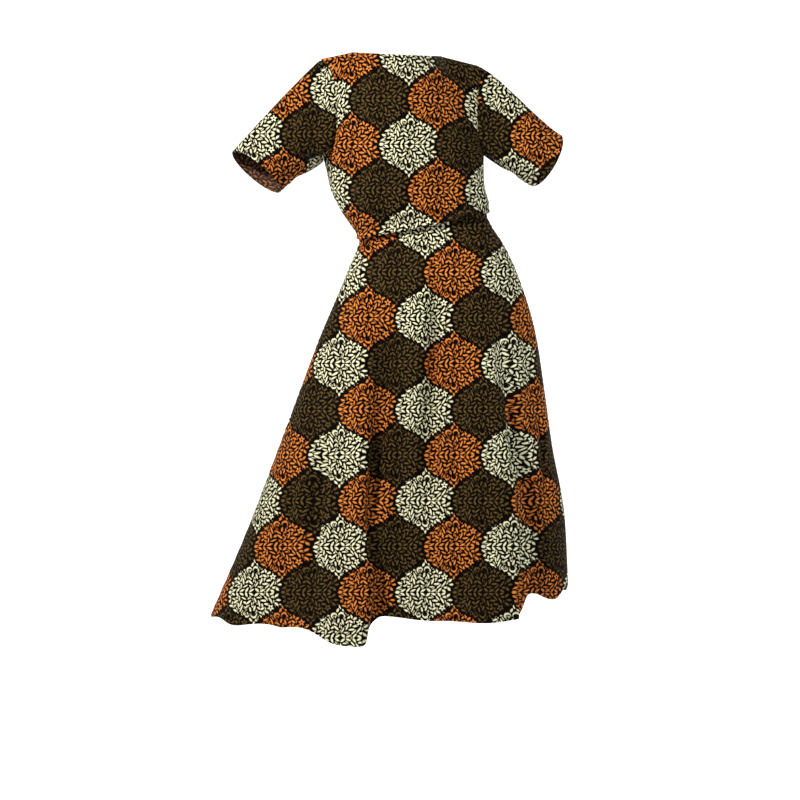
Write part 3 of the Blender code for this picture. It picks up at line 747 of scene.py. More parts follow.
# The top
top = {
    # height, middle of the body, roll and turn of the torso in degrees
    "lean": (
        (-0.030, 0.0000, 11.5, 0.0),
        (0.000, 0.0000, 11.5, 0.0),
        (0.016, -0.0050, 9.7, 0.5),
        (0.045, -0.0205, 5.4, 2.5),
        (0.084, -0.0340, 2.6, 6.0),
        (0.144, -0.0400, 2.1, 9.0),
        (0.342, -0.0485, -1.5, 10.0),
        (0.402, -0.0500, -1.5, 10.0),
    ),
    # height, half width, front depth, back depth
    "rings": (
        (-0.005, 0.1456, 0.1021, 0.1021),
        (0.006, 0.1468, 0.1040, 0.1034),
        (0.020, 0.1525, 0.1125, 0.1080),
        (0.045, 0.1605, 0.1195, 0.1120),
        (0.084, 0.1680, 0.1240, 0.1140),
        (0.117, 0.1715, 0.1250, 0.1150),
        (0.1435, 0.1765, 0.1240, 0.1150),
    ),
    "lowerHeights": (-0.005, 0.003, 0.012, 0.023, 0.036, 0.052, 0.072, 0.095, 0.119, 0.1435),
    "upperRows": 12,
    "rowSpread": 0.8,
    "fineLower": 54,
    "finePerUpper": 7,
    "fineColumns": 70,  # from the centre to a side
    "neckShare": 8 / 14,  # of the way from the centre to a side, where the neckline ends
    "neckHalfWidth": 0.098,
    "neckShift": -0.008,
    "neckSideHeight": 0.366,
    "shoulderTip": (0.174, 0.004, 0.349),
    "chestRise": 0.19,  # how strongly the cloth's curve leaves the chest
    "shoulderRise": 0.13,  # and arrives at the shoulder
    "calm": (0.018, 0.020),  # creases fade out this far from the seams and from the neck
    "hem": 0.016,
    "hemFlare": (0.0060, 0.020),  # how far the hem stands out and over what height
    "neckTurn": 0.007,
    "lineWidths": (0.004, 0.003),  # of the dips along the stitches of hem and neck
    "middle": (-0.0308, 0.1705, 2),  # x, z and colour of a tile's middle on the front
    "backMiddle": (0.012, 0.190, 1),
}
cuts = {
    "front": {
        "side": -1,
        "neckDepth": 0.074,
        "neckHeight": 0.358,
        # share of the way to the side and up to the shoulder, from the underarm to the shoulder's tip
        "armholes": (
            ((1.0, 0.0), (0.70, 0.11), (0.46, 0.17), (1.0, 1.0)),
            ((1.0, 0.0), (0.22, 0.06), (1.17, 0.63), (1.0, 1.0)),
        ),
        "shoulderArrive": (0.0, 0.85, 0.45),
        "neckArrive": (0.0, 0.45, 0.85),
        # low along, low height, high along, high height, width, out
        "folds": (
            (-0.72, 0.020, -0.52, 0.150, 0.080, -0.0060),
            (-0.46, 0.015, -0.36, 0.110, 0.060, 0.0050),
            (-0.10, 0.020, -0.16, 0.130, 0.075, -0.0045),
            (0.30, 0.018, 0.22, 0.120, 0.070, -0.0050),
            (0.66, 0.030, 0.48, 0.160, 0.070, -0.0055),
            (-0.93, 0.110, -0.66, 0.200, 0.070, -0.0045),
            (0.93, 0.115, 0.68, 0.205, 0.070, -0.0045),
        ),
        # x and z of a crease's start, bend and end as they show, its half width and its depth
        "creases": (
            (-0.187, 0.206, -0.165, 0.178, -0.118, 0.168, 0.0070, 0.0024),
            (-0.191, 0.166, -0.170, 0.134, -0.126, 0.112, 0.0060, 0.0020),
            (-0.178, 0.100, -0.150, 0.080, -0.092, 0.088, 0.0055, 0.0019),
            (-0.160, 0.048, -0.125, 0.026, -0.062, 0.044, 0.0050, 0.0020),
            (-0.150, 0.022, -0.110, 0.010, -0.070, 0.014, 0.0040, 0.0015),
            (0.118, 0.222, 0.100, 0.190, 0.060, 0.182, 0.0065, 0.0022),
            (0.128, 0.176, 0.104, 0.148, 0.052, 0.128, 0.0070, 0.0021),
            (0.134, 0.104, 0.108, 0.074, 0.050, 0.078, 0.0055, 0.0021),
            (0.137, 0.072, 0.110, 0.044, 0.064, 0.042, 0.0050, 0.0020),
            (0.138, 0.050, 0.100, 0.026, 0.030, 0.040, 0.0045, 0.0018),
            (-0.118, 0.346, -0.100, 0.318, -0.070, 0.304, 0.0060, 0.0016),
            (0.058, 0.344, 0.048, 0.314, 0.022, 0.296, 0.0060, 0.0016),
            (-0.008, 0.150, -0.020, 0.086, -0.006, 0.020, 0.0095, 0.0020),
            (-0.056, 0.174, -0.070, 0.110, -0.076, 0.034, 0.0085, 0.0017),
            (0.026, 0.236, 0.030, 0.200, 0.012, 0.160, 0.0080, 0.0013),
            (-0.094, 0.262, -0.086, 0.230, -0.100, 0.204, 0.0075, 0.0013),
        ),
    },
    "back": {
        "side": 1,
        "neckDepth": 0.070,
        "neckHeight": 0.367,
        "armholes": (
            ((1.0, 0.0), (0.68, 0.0), (0.84, 0.66), (1.0, 1.0)),
            ((1.0, 0.0), (0.68, 0.0), (0.84, 0.66), (1.0, 1.0)),
        ),
        "shoulderArrive": (0.0, -0.85, 0.45),
        "neckArrive": (0.0, -0.40, 0.85),
        "folds": (
            (-0.64, 0.020, -0.46, 0.140, 0.080, -0.0060),
            (-0.20, 0.015, -0.12, 0.150, 0.070, -0.0050),
            (0.24, 0.018, 0.16, 0.120, 0.070, -0.0050),
            (0.64, 0.025, 0.44, 0.150, 0.080, -0.0055),
        ),
        "creases": (
            (0.188, 0.196, 0.158, 0.170, 0.112, 0.160, 0.0070, 0.0022),
            (0.184, 0.142, 0.152, 0.112, 0.104, 0.104, 0.0060, 0.0021),
            (0.172, 0.082, 0.136, 0.056, 0.080, 0.070, 0.0055, 0.0020),
            (0.152, 0.040, 0.110, 0.018, 0.050, 0.034, 0.0050, 0.0019),
            (-0.118, 0.212, -0.094, 0.184, -0.050, 0.172, 0.0065, 0.0021),
            (-0.126, 0.132, -0.098, 0.100, -0.046, 0.094, 0.0060, 0.0022),
            (-0.134, 0.066, -0.100, 0.044, -0.040, 0.060, 0.0050, 0.0020),
            (0.030, 0.300, 0.036, 0.230, 0.022, 0.160, 0.0100, 0.0020),
            (0.060, 0.130, 0.070, 0.080, 0.066, 0.030, 0.0085, 0.0018),
            (-0.010, 0.140, -0.004, 0.080, -0.014, 0.024, 0.0090, 0.0018),
        ),
    },
}


def stacked(x, y, z):
    return np.stack(np.broadcast_arrays(x, y, z), axis=-1)


def posed(points):
    # the upright top in the lean and turn of the wearer
    centre, roll, yaw = readTable(top["lean"], points[..., 2])
    roll, yaw = np.radians(roll), np.radians(yaw)
    x, y, z = np.moveaxis(points, -1, 0)
    across = x * np.cos(roll)
    return stacked(
        centre + across * np.cos(yaw) - y * np.sin(yaw),
        across * np.sin(yaw) + y * np.cos(yaw),
        z + x * np.sin(roll),
    )


def lowerPoints(cut, along, height):
    halfWidth, front, back = readTable(top["rings"], height)
    angle = along * math.pi / 2
    depth = front if cut["side"] < 0 else back
    return stacked(halfWidth * np.sin(angle), cut["side"] * depth * np.cos(angle), height)


def topEdge(cut, along):
    # the neckline in the middle of a panel, then the shoulder seams, and how the cloth arrives there
    share = along / top["neckShare"]
    curve = np.where(np.abs(share) <= 1, 1 - share**2, 0)
    sideX, sideZ = top["neckHalfWidth"], top["neckSideHeight"]
    neck = stacked(
        top["neckShift"] + share * sideX,
        0.002 + cut["side"] * cut["neckDepth"] * curve,
        sideZ + (cut["neckHeight"] - sideZ) * curve,
    )
    sign = np.sign(along)
    out = ((np.abs(along) - top["neckShare"]) / (1 - top["neckShare"]))[..., None]
    tipX, tipY, tipZ = top["shoulderTip"]
    neckSide = stacked(top["neckShift"] + sign * sideX, 0.002, sideZ)
    shoulder = neckSide * (1 - out) + stacked(sign * tipX, tipY, tipZ) * out
    onNeck = (np.abs(share) <= 1)[..., None]
    curved = curve[..., None]
    arrive = np.array(cut["shoulderArrive"]) * (1 - curved) + np.array(cut["neckArrive"]) * curved
    return np.where(onNeck, neck, shoulder), arrive


def bodice(cut, folds=True):
    # rows of points from the hem to the neckline and the shoulders
    columns = np.linspace(-1, 1, 2 * top["fineColumns"] + 1)[None]
    heights = spread(top["lowerHeights"], top["fineLower"] + 1)[:, None]
    lowAlong, lowHeight = np.broadcast_arrays(columns, heights)
    lower = lowerPoints(cut, lowAlong, lowHeight)
    upperCount = top["upperRows"] * top["finePerUpper"]
    rise = ((np.arange(upperCount) + 1) / upperCount)[:, None] ** top["rowSpread"]
    fall = 1 - rise
    weights = (fall**3, 3 * rise * fall**2, 3 * rise**2 * fall, rise**3)

    def armholeCurve(armhole):
        return [sum(weight * place[i] for weight, place in zip(weights, armhole)) for i in (0, 1)]

    rightEdge, leftEdge = (armholeCurve(armhole) for armhole in cut["armholes"])
    edgeAlong, edgeUp = (np.where(columns < 0, right, left) for right, left in zip(rightEdge, leftEdge))
    along = columns * edgeAlong
    up = (rise + (edgeUp - rise) * np.abs(columns) ** 3)[..., None]
    underarm, step = top["lowerHeights"][-1], 0.0015
    start = lowerPoints(cut, along, np.full_like(along, underarm))
    below = lowerPoints(cut, along, np.full_like(along, underarm - step))
    leave = (start - below) / step * top["chestRise"]
    end, arrive = topEdge(cut, along)
    upper = hermite(start, leave, end, arrive * top["shoulderRise"], up)
    upright = np.concatenate([lower, upper])
    alongs = np.concatenate([lowAlong, along])
    if folds:
        depth = np.zeros(alongs.shape)
        for lowAt, lowZ, highAt, highZ, width, out in cut["folds"]:
            share = (upright[..., 2] - lowZ) / (highZ - lowZ)
            centre = lowAt + (highAt - lowAt) * share
            away = (alongs - centre) * top["rings"][-1][1] / (width / 2)
            depth += out * bell(away) * bell(2 * share - 1)
        upright = upright + gridNormals(upright) * depth[..., None]
    return posed(upright)


def rowLine(grid, normals, distances, away, closed=False):
    # the line on the cloth's outside at a distance from one of its edges, column by column
    order = np.argsort(distances[:, 0])
    k = np.arange(grid.shape[1])
    at = np.array([np.interp(away, distances[order, column], order) for column in k])
    low = np.minimum(at.astype(int), grid.shape[0] - 2)
    share = (at - low)[:, None]
    points = grid[low, k] * (1 - share) + grid[low + 1, k] * share
    directions = unit(normals[low, k] * (1 - share) + normals[low + 1, k] * share)
    points = points + directions * cloth["thickness"] / 2
    if closed:
        points = np.concatenate([points, points[:1]])
        directions = np.concatenate([directions, directions[:1]])
    return points, directions


panels = {}
for name, cut in cuts.items():
    side = cut["side"]
    plain, grid = bodice(cut, folds=False), bodice(cut)
    places = printPlaces(plain, grid, side, top["fineColumns"], top["fineLower"])
    fromHem, fromNeck, fromRight, fromLeft = edgeDistances(grid)
    columns = np.abs(np.linspace(-1, 1, grid.shape[1]))
    onNeck = columns < top["neckShare"]
    fromSide = np.minimum(fromRight, fromLeft)
    fromShoulder = np.where(columns > top["neckShare"], fromNeck, 1.0)
    seamCalm, neckCalm = top["calm"]
    calm = soft(np.minimum(fromSide, fromShoulder) / seamCalm) * soft(fromNeck / neckCalm)
    height = creased(places, cut["creases"]) * calm
    height += seamForm(fromSide, fromHem) + seamForm(fromShoulder, fromRight)
    hemWidth, neckWidth = top["lineWidths"]
    hemLine = bell((fromHem - top["hem"]) / hemWidth)
    neckLine = bell((fromNeck - top["neckTurn"]) / neckWidth) * onNeck
    height -= cloth["hemLine"] * (hemLine + neckLine)
    flareOut, flareHeight = top["hemFlare"]
    height += flareOut * bell(fromHem / flareHeight) * lessAtSides(columns)
    grid = grid + gridNormals(grid) * height[..., None]
    normals = gridNormals(grid)
    turned = cloth["hemExtra"] * ((fromHem < top["hem"]) | ((fromNeck < top["neckTurn"]) & onNeck))
    panels[name] = (grid, normals)
    looks = bothSides("print_top_" + name, top["middle"] if side < 0 else top["backMiddle"])
    piece = clothShell("top_" + name + "_cloth", grid, normals, places, False, turned, looks)
    hemPath = rowLine(grid, normals, fromHem, top["hem"])
    neck = (part[:, columns <= top["neckShare"]] for part in (grid, normals, fromNeck))
    neckPath = rowLine(*neck, top["neckTurn"])
    threads = stitches("top_" + name + "_stitches", [hemPath, neckPath], thread)
    panels[name] += fitted(piece, threads, "top_" + name)
print("top made")

# The sleeves, named for the wearer's side
sleeves = {
    "right": {
        "bodySide": -1,
        "cuff": (-0.356, -0.086, 0.110),
        "axis": (-0.601, -0.309, -0.737),
        "up": (-0.814, 0.0, 0.581),
        "halfHeight": 0.066,
        "halfDepth": 0.061,
        "middle": (-0.2453, 0.1932, 1),
        "creases": (
            (-0.216, 0.148, -0.242, 0.192, -0.262, 0.250, 0.0075, 0.0024),
            (-0.232, 0.128, -0.272, 0.160, -0.306, 0.206, 0.0065, 0.0022),
            (-0.198, 0.206, -0.222, 0.240, -0.240, 0.290, 0.0070, 0.0018),
            (-0.262, 0.104, -0.306, 0.122, -0.342, 0.158, 0.0055, 0.0019),
            (-0.306, 0.088, -0.338, 0.100, -0.366, 0.124, 0.0050, 0.0013),
        ),
    },
    "left": {
        "bodySide": 1,
        "cuff": (0.275, 0.082, 0.140),
        "axis": (0.837, 0.309, -0.451),
        "up": (0.474, 0.0, 0.880),
        "halfHeight": 0.065,
        "halfDepth": 0.062,
        "middle": (0.1947, 0.2900, 2),
        "creases": (
            (0.136, 0.168, 0.166, 0.198, 0.186, 0.240, 0.0070, 0.0024),
            (0.150, 0.150, 0.192, 0.160, 0.222, 0.190, 0.0065, 0.0021),
            (0.126, 0.232, 0.156, 0.252, 0.172, 0.286, 0.0065, 0.0017),
            (0.184, 0.128, 0.222, 0.134, 0.250, 0.160, 0.0055, 0.0018),
            (0.226, 0.106, 0.252, 0.118, 0.272, 0.144, 0.0050, 0.0013),
        ),
    },
    # how far the cloth runs on past the seam, and along the arm: at the top, the sides and the underarm
    "reaches": ((0.060, 0.055), (0.012, 0.105), (0.018, 0.050)),
    "cuffArrive": 0.80,
    "leastPrint": 0.42,  # of the cloth's width, where it turns away
    "sink": 0.0022,  # how far the cloth sinks in beside the armhole seam
    "sinkWidth": 0.008,
    "rows": 64,
    # turn round the arm in degrees, its spread, share of the way down, its spread, out
    "folds": (
        (125, 62, 0.42, 0.20, -0.0050),
        (70, 55, 0.30, 0.16, -0.0035),
        (205, 70, 0.62, 0.18, -0.0045),
        (285, 60, 0.36, 0.20, -0.0045),
    ),
    "calm": 0.020,  # creases fade out this far from the armhole
    "hem": 0.020,
    "lineWidth": 0.004,
}


def sleeveGrid(sleeve):
    # rows from the armhole to the cuff; columns start at the shoulder and go down the front
    front, back = panels["front"], panels["back"]
    column = -1 if sleeve["bodySide"] > 0 else 0
    first = top["fineLower"]
    loop = [np.concatenate([front[k][:first:-1, column], back[k][first:-1, column]]) for k in (0, 1)]
    points, normals = loop
    axis = unit(np.array(sleeve["axis"]))
    up = np.array(sleeve["up"])
    up = unit(up - axis * (up @ axis))
    forward = np.cross(axis, up) * sleeve["bodySide"]
    near = top["finePerUpper"]
    onward = unit(np.cross(np.roll(points, -near, axis=0) - np.roll(points, near, axis=0), normals))
    onward = onward * np.sign(onward @ (up + axis))[:, None]
    turn = 2 * math.pi * np.arange(len(points)) / len(points)
    high, low = np.clip(np.cos(turn), 0, 1) ** 2, np.clip(-np.cos(turn), 0, 1) ** 2
    weights = np.stack([high, 1 - high - low, low], axis=-1)
    reach = weights @ np.array(sleeves["reaches"])
    across = np.outer(np.cos(turn), up * sleeve["halfHeight"])
    across += np.outer(np.sin(turn), forward * sleeve["halfDepth"])
    cuff = np.array(sleeve["cuff"]) + across
    arrive = axis * np.linalg.norm(cuff - points, axis=1)[:, None] * sleeves["cuffArrive"]
    leave = onward * reach[:, :1] + axis * reach[:, 1:]
    down = np.linspace(0, 1, sleeves["rows"] + 1)[:, None]
    grid = hermite(points, leave, cuff, arrive, down[..., None])
    depth = np.zeros(grid.shape[:2])
    for foldTurn, foldSpread, foldDown, foldLength, out in sleeves["folds"]:
        away = (np.degrees(turn)[None] - foldTurn + 180) % 360 - 180
        depth += out * bell(away / foldSpread) * bell((down - foldDown) / foldLength)
    return grid + gridNormals(grid, closed=True) * depth[..., None], axis


def sleevePlaces(grid, axis, startColumn):
    # the print unrolled round the arm, from the column that faces the eye
    alongArm = unit(axis[[0, 2]])
    roundArm = np.array([-alongArm[1], alongArm[0]])
    looped = np.concatenate([grid, grid[:, :1]], axis=1)
    shown = np.stack(shownAt(looped), axis=-1)
    along, across = shown @ alongArm, shown @ roundArm
    steps = np.maximum(np.abs(np.diff(across)), sleeves["leastPrint"] * stepLengths(looped, 1))
    run = runningSum(steps, 1)
    way = np.sign(across[:, startColumn + 1] - across[:, startColumn - 1]).mean()
    run = across[:, startColumn:startColumn + 1] + way * (run - run[:, startColumn:startColumn + 1])
    return along[..., None] * alongArm + run[..., None] * roundArm


for name in ("right", "left"):
    sleeve = sleeves[name]
    grid, axis = sleeveGrid(sleeve)
    count = grid.shape[1]
    grid = np.roll(grid, count // 2, axis=1)  # so that the print's own seam lies at the underarm
    startColumn = 3 * count // 4
    places = sleevePlaces(grid, axis, startColumn)
    fromArmhole, fromCuff, aroundArm, _ = edgeDistances(grid)
    height = creased(places[:, :-1], sleeve["creases"]) * soft(fromArmhole / sleeves["calm"])
    height += seamForm(fromArmhole, aroundArm) - sleeves["sink"] * bell(fromArmhole / sleeves["sinkWidth"])
    fromUnderarm = np.minimum(aroundArm, aroundArm[:, -1:] - aroundArm)
    height += seamForm(fromUnderarm, fromArmhole)
    height -= cloth["hemLine"] * bell((fromCuff - sleeves["hem"]) / sleeves["lineWidth"])
    grid = grid + gridNormals(grid, closed=True) * height[..., None]
    normals = gridNormals(grid, closed=True)
    turned = cloth["hemExtra"] * (fromCuff < sleeves["hem"])
    looks = bothSides("print_sleeve_" + name, sleeve["middle"])
    piece = clothShell("sleeve_" + name + "_cloth", grid, normals, places, True, turned, looks)
    cuffPath = rowLine(grid, normals, fromCuff, sleeves["hem"], closed=True)
    threads = stitches("sleeve_" + name + "_stitches", [cuffPath], thread)
    sleeve["pieces"] = fitted(piece, threads, "sleeve_" + name)
print("sleeves made")

# The skirt
skirt = {
    # down from waist to hem, height, slope, left, right, front, back
    "rings": (
        (0.000, 0.0000, 0.20345, -0.14062, 0.14062, 0.1000, 0.1000),
        (0.014, -0.0120, 0.200, -0.1412, 0.1414, 0.1002, 0.1002),
        (0.095, -0.0790, 0.145, -0.1640, 0.1800, 0.1150, 0.1200),
        (0.170, -0.1370, 0.114, -0.1870, 0.2080, 0.1290, 0.1370),
        (0.305, -0.2480, 0.063, -0.2310, 0.2450, 0.1530, 0.1560),
        (0.455, -0.3780, 0.055, -0.2800, 0.2660, 0.1770, 0.1760),
        (0.605, -0.5020, 0.049, -0.3270, 0.2830, 0.1980, 0.1980),
        (0.800, -0.6740, 0.050, -0.3950, 0.3120, 0.2260, 0.2280),
        (1.000, -0.8370, 0.059, -0.4690, 0.3200, 0.2520, 0.2600),
    ),
    "downs": (0.0, 0.014, 0.045, 0.08, 0.12, 0.165, 0.22, 0.29, 0.37, 0.46, 0.56, 0.67, 0.78, 0.89, 1.0),
    "rows": 164,
    "columns": 278,  # in each panel
    # where the hem's cloth comes from at the waist, in degrees round from the front: hem, waist
    "fan": ((-180, -180), (-90, -90), (-29, -58), (-8, -36), (42, 48), (90, 90), (180, 180)),
    # crest at its top and at the hem in hem degrees, width of each flank, how far it stands out,
    # leans round and hangs down, and the stretch over which it deepens
    "folds": (
        (-24, -27, 10, 8, -0.004, 0, -0.015, 0.30, 1),
        (-11, -13.5, 21, 8.5, 0.066, 0.044, 0.012, 0.00, 1),
        (2, -2, 7, 16, -0.010, 0, -0.030, 0.25, 1),
        (14, 13, 14, 15, -0.004, 0, -0.014, 0.30, 1),
        (24, 4, 17, 19, -0.013, 0, 0.0, 0.00, 0.42),
        (38, 34, 30, 8.5, 0.052, 0.026, -0.008, 0.10, 1),
        (56, 52, 9, 17, -0.016, 0, -0.036, 0.15, 1),
        (82, 80, 22, 16, 0.003, 0, -0.033, 0.20, 1),
        (-68, -70, 15, 15, -0.003, 0, -0.010, 0.20, 1),
        (-40, -43, 20, 18, -0.014, 0, -0.011, 0.16, 1),
        (103, 103, 10, 12, -0.030, 0, -0.014, 0.10, 1),
        (122, 122, 13, 11, 0.036, 0.010, 0.004, 0.06, 1),
        (147, 149, 14, 9, 0.048, 0.022, 0.010, 0.03, 1),
        (177, 178, 15, 14, 0.034, 0, 0.004, 0.12, 1),
        (-151, -150, 11, 15, 0.052, -0.020, 0.012, 0.04, 1),
        (-124, -122, 12, 13, 0.036, -0.008, 0.002, 0.09, 1),
        (-103, -102, 13, 11, -0.028, 0, -0.010, 0.12, 1),
    ),
    "foldStart": 0.15,
    "gatherSteps": (0.0127, 0.0191, 0.083),  # of two waves that add up, and of the change in length
    "gatherLength": (0.030, 0.016),  # and how much it changes
    "gatherDepth": 0.0011,
    "gatherCalm": 0.010,  # they fade out this far from the seams
    "tuck": (0.0095, 0.0140, 0.0125),  # how far the skirt goes in under the top's hem, where, its height
    "calm": (0.020, 0.010),  # creases fade out this far from the seams and from the waist
    "hem": 0.022,
    "lineWidth": 0.006,
    "middle": (0.0048, -0.2111, 2),
    "backMiddle": (0.020, -0.1900, 0),
    "creases": {
        "front": (
            (-0.112, -0.050, -0.122, -0.090, -0.142, -0.142, 0.0070, 0.0026),
            (-0.062, -0.040, -0.070, -0.092, -0.084, -0.160, 0.0075, 0.0028),
            (-0.022, -0.052, -0.024, -0.094, -0.034, -0.136, 0.0065, 0.0022),
            (0.016, -0.034, 0.026, -0.080, 0.036, -0.144, 0.0070, 0.0024),
            (0.056, -0.022, 0.078, -0.062, 0.100, -0.118, 0.0075, 0.0028),
            (0.094, -0.012, 0.126, -0.052, 0.152, -0.106, 0.0070, 0.0025),
            (0.122, -0.006, 0.160, -0.052, 0.188, -0.120, 0.0060, 0.0020),
            (-0.140, -0.070, -0.168, -0.130, -0.196, -0.214, 0.0080, 0.0022),
            (0.046, -0.060, 0.034, -0.340, 0.006, -0.720, 0.0280, 0.0225),
            (-0.070, -0.110, -0.075, -0.480, -0.140, -0.860, 0.0240, 0.0170),
            (-0.172, -0.250, -0.196, -0.370, -0.214, -0.470, 0.0120, 0.0040),
            (-0.180, -0.430, -0.2515, -0.600, -0.245, -0.880, 0.0230, 0.0160),
            (-0.268, -0.560, -0.310, -0.690, -0.352, -0.810, 0.0130, 0.0045),
            (-0.166, -0.690, -0.150, -0.802, -0.118, -0.868, 0.0150, 0.0070),
            (-0.054, -0.400, -0.050, -0.600, -0.060, -0.800, 0.0150, 0.0042),
            (0.058, -0.330, 0.078, -0.560, 0.070, -0.790, 0.0160, 0.0050),
            (0.150, -0.120, 0.209, -0.470, 0.262, -0.820, 0.0250, 0.0135),
            (0.092, -0.180, 0.106, -0.300, 0.110, -0.440, 0.0140, 0.0040),
            (0.132, -0.560, 0.138, -0.680, 0.150, -0.800, 0.0140, 0.0045),
            (0.214, -0.170, 0.236, -0.320, 0.252, -0.430, 0.0120, 0.0038),
            (0.253, -0.380, 0.280, -0.524, 0.280, -0.640, 0.0140, 0.0060),
            (-0.120, -0.166, -0.150, -0.172, -0.178, -0.160, 0.0060, 0.0018),
            (-0.110, -0.196, -0.146, -0.212, -0.184, -0.204, 0.0060, 0.0015),
            (0.150, -0.060, 0.180, -0.092, 0.204, -0.142, 0.0055, 0.0016),
        ),
        "back": (
            (0.120, -0.054, 0.134, -0.100, 0.156, -0.160, 0.0070, 0.0026),
            (0.078, -0.040, 0.084, -0.090, 0.100, -0.150, 0.0075, 0.0025),
            (0.030, -0.036, 0.030, -0.080, 0.042, -0.130, 0.0065, 0.0022),
            (-0.018, -0.030, -0.026, -0.080, -0.036, -0.150, 0.0070, 0.0026),
            (-0.060, -0.022, -0.080, -0.060, -0.098, -0.120, 0.0070, 0.0024),
            (-0.104, -0.012, -0.132, -0.050, -0.158, -0.104, 0.0065, 0.0023),
            (0.046, -0.110, 0.064, -0.330, 0.058, -0.600, 0.0170, 0.0090),
            (0.130, -0.200, 0.158, -0.380, 0.172, -0.560, 0.0150, 0.0062),
            (0.210, -0.340, 0.250, -0.520, 0.268, -0.730, 0.0170, 0.0085),
            (-0.018, -0.300, -0.026, -0.500, -0.010, -0.740, 0.0160, 0.0070),
            (-0.090, -0.150, -0.120, -0.380, -0.118, -0.640, 0.0180, 0.0092),
            (-0.170, -0.260, -0.196, -0.420, -0.220, -0.600, 0.0140, 0.0055),
            (0.320, -0.600, 0.348, -0.700, 0.380, -0.800, 0.0130, 0.0045),
            (0.110, -0.580, 0.122, -0.700, 0.112, -0.820, 0.0150, 0.0060),
        ),
    },
}


def foldStrength(start, deepest, down):
    growth = (down - start) / (deepest - start)
    if deepest < 1:
        return bell(growth - 1)
    growth = np.maximum(growth, 0)
    return growth**2 / (growth + skirt["foldStart"]) * (1 + skirt["foldStart"])


def skirtPoints(hemAngle, down, folds=True):
    turn = (hemAngle + 180) % 360 - 180
    fan = np.array(skirt["fan"], float)
    waistAngle = np.interp(turn, fan[:, 0], fan[:, 1])
    height, slope, left, right, front, back = readTable(skirt["rings"], down)
    angle = np.radians(waistAngle + (turn - waistAngle) * soft(down))
    half = (right - left) / 2
    depth = np.where(np.cos(angle) > 0, front, back)
    x = (right + left) / 2 + half * np.sin(angle)
    y = -depth * np.cos(angle)
    outX, outY = np.sin(angle) / half, -np.cos(angle) / depth
    long = np.hypot(outX, outY)
    outX, outY = outX / long, outY / long
    drop = np.zeros_like(x)
    if folds:
        for atTop, atHem, before, after, out, lean, hang, start, deepest in skirt["folds"]:
            strength = foldStrength(start, deepest, down)
            away = (turn - atTop - (atHem - atTop) * down + 180) % 360 - 180
            share = bell(away / np.where(away < 0, before, after)) * strength
            x = x + (outX * out - outY * lean * strength) * share
            y = y + (outY * out + outX * lean * strength) * share
            drop = drop + hang * share * strength
    return stacked(x, y, height + slope * x - drop)


def evenHemAngles(first, last, count):
    fine = np.linspace(first, last, 721)
    along = lengthAlong(skirtPoints(fine, np.ones_like(fine)))
    return np.interp(np.linspace(0, along[-1], count + 1), along, fine)


for name, side, first in (("front", -1, -90), ("back", 1, 90)):
    angles = evenHemAngles(first, first + 180, skirt["columns"])[None]
    downs = spread(skirt["downs"], skirt["rows"] + 1)[:, None]
    angles, downs = np.broadcast_arrays(angles, downs)
    grid, plain = skirtPoints(angles, downs), skirtPoints(angles, downs, folds=False)
    places = printPlaces(plain, grid, side, skirt["columns"] // 2, 0)
    fromWaist, fromHem, fromFirst, fromLast = edgeDistances(grid)
    fromSeam = np.minimum(fromFirst, fromLast)
    seamCalm, waistCalm = skirt["calm"]
    calm = soft(fromSeam / seamCalm) * soft(fromWaist / waistCalm)
    height = creased(places, skirt["creases"][name]) * calm
    height += seamForm(fromSeam, fromWaist)
    # small gathers under the waistband, uneven in step and length
    waistRun = fromFirst[0] * 2 * math.pi
    wave, otherWave, change = skirt["gatherSteps"]
    uneven = np.sin(waistRun / wave) + 0.7 * np.sin(waistRun / otherWave + 0.8)
    usual, more = skirt["gatherLength"]
    reach = usual + more * np.sin(waistRun / change + side)
    gathers = uneven * bell(fromWaist / reach * 0.9 - 0.1) * soft(fromSeam / skirt["gatherCalm"])
    height += skirt["gatherDepth"] * gathers
    height -= cloth["hemLine"] * bell((fromHem - skirt["hem"]) / skirt["lineWidth"])
    tuckIn, tuckAt, tuckHeight = skirt["tuck"]
    tuck = bell((fromWaist - tuckAt) / tuckHeight) * lessAtSides(np.linspace(-1, 1, grid.shape[1]))
    height -= tuckIn * tuck
    grid = grid + gridNormals(grid) * height[..., None]
    normals = gridNormals(grid)
    turned = cloth["hemExtra"] * (fromHem < skirt["hem"])
    looks = bothSides("print_skirt_" + name, skirt["middle"] if side < 0 else skirt["backMiddle"])
    piece = clothShell("skirt_" + name + "_cloth", grid, normals, places, False, turned, looks)
    hemPath = rowLine(grid, normals, fromHem, skirt["hem"])
    threads = stitches("skirt_" + name + "_stitches", [hemPath], thread)
    skirt[name] = fitted(piece, threads, "skirt_" + name)
print("skirt made")

# The waistband, gathered over its elastic
waistband = {
    "halfWidth": 0.1435,
    "depth": 0.100,
    "roll": 11.5,
    "height": 0.034,
    "low": 0.0004,
    "columns": 420,
    "rows": 22,
    "gathers": (74, 43),  # two waves round the band, which add up
    "gatherDepth": 0.0013,
    "stitchRows": (0.009, 0.0175, 0.026),
    "flatter": (0.55, 0.0035),  # how much a row of stitches flattens the gathers, and over what height
    "middle": (0.05, 0.02, 0),
}


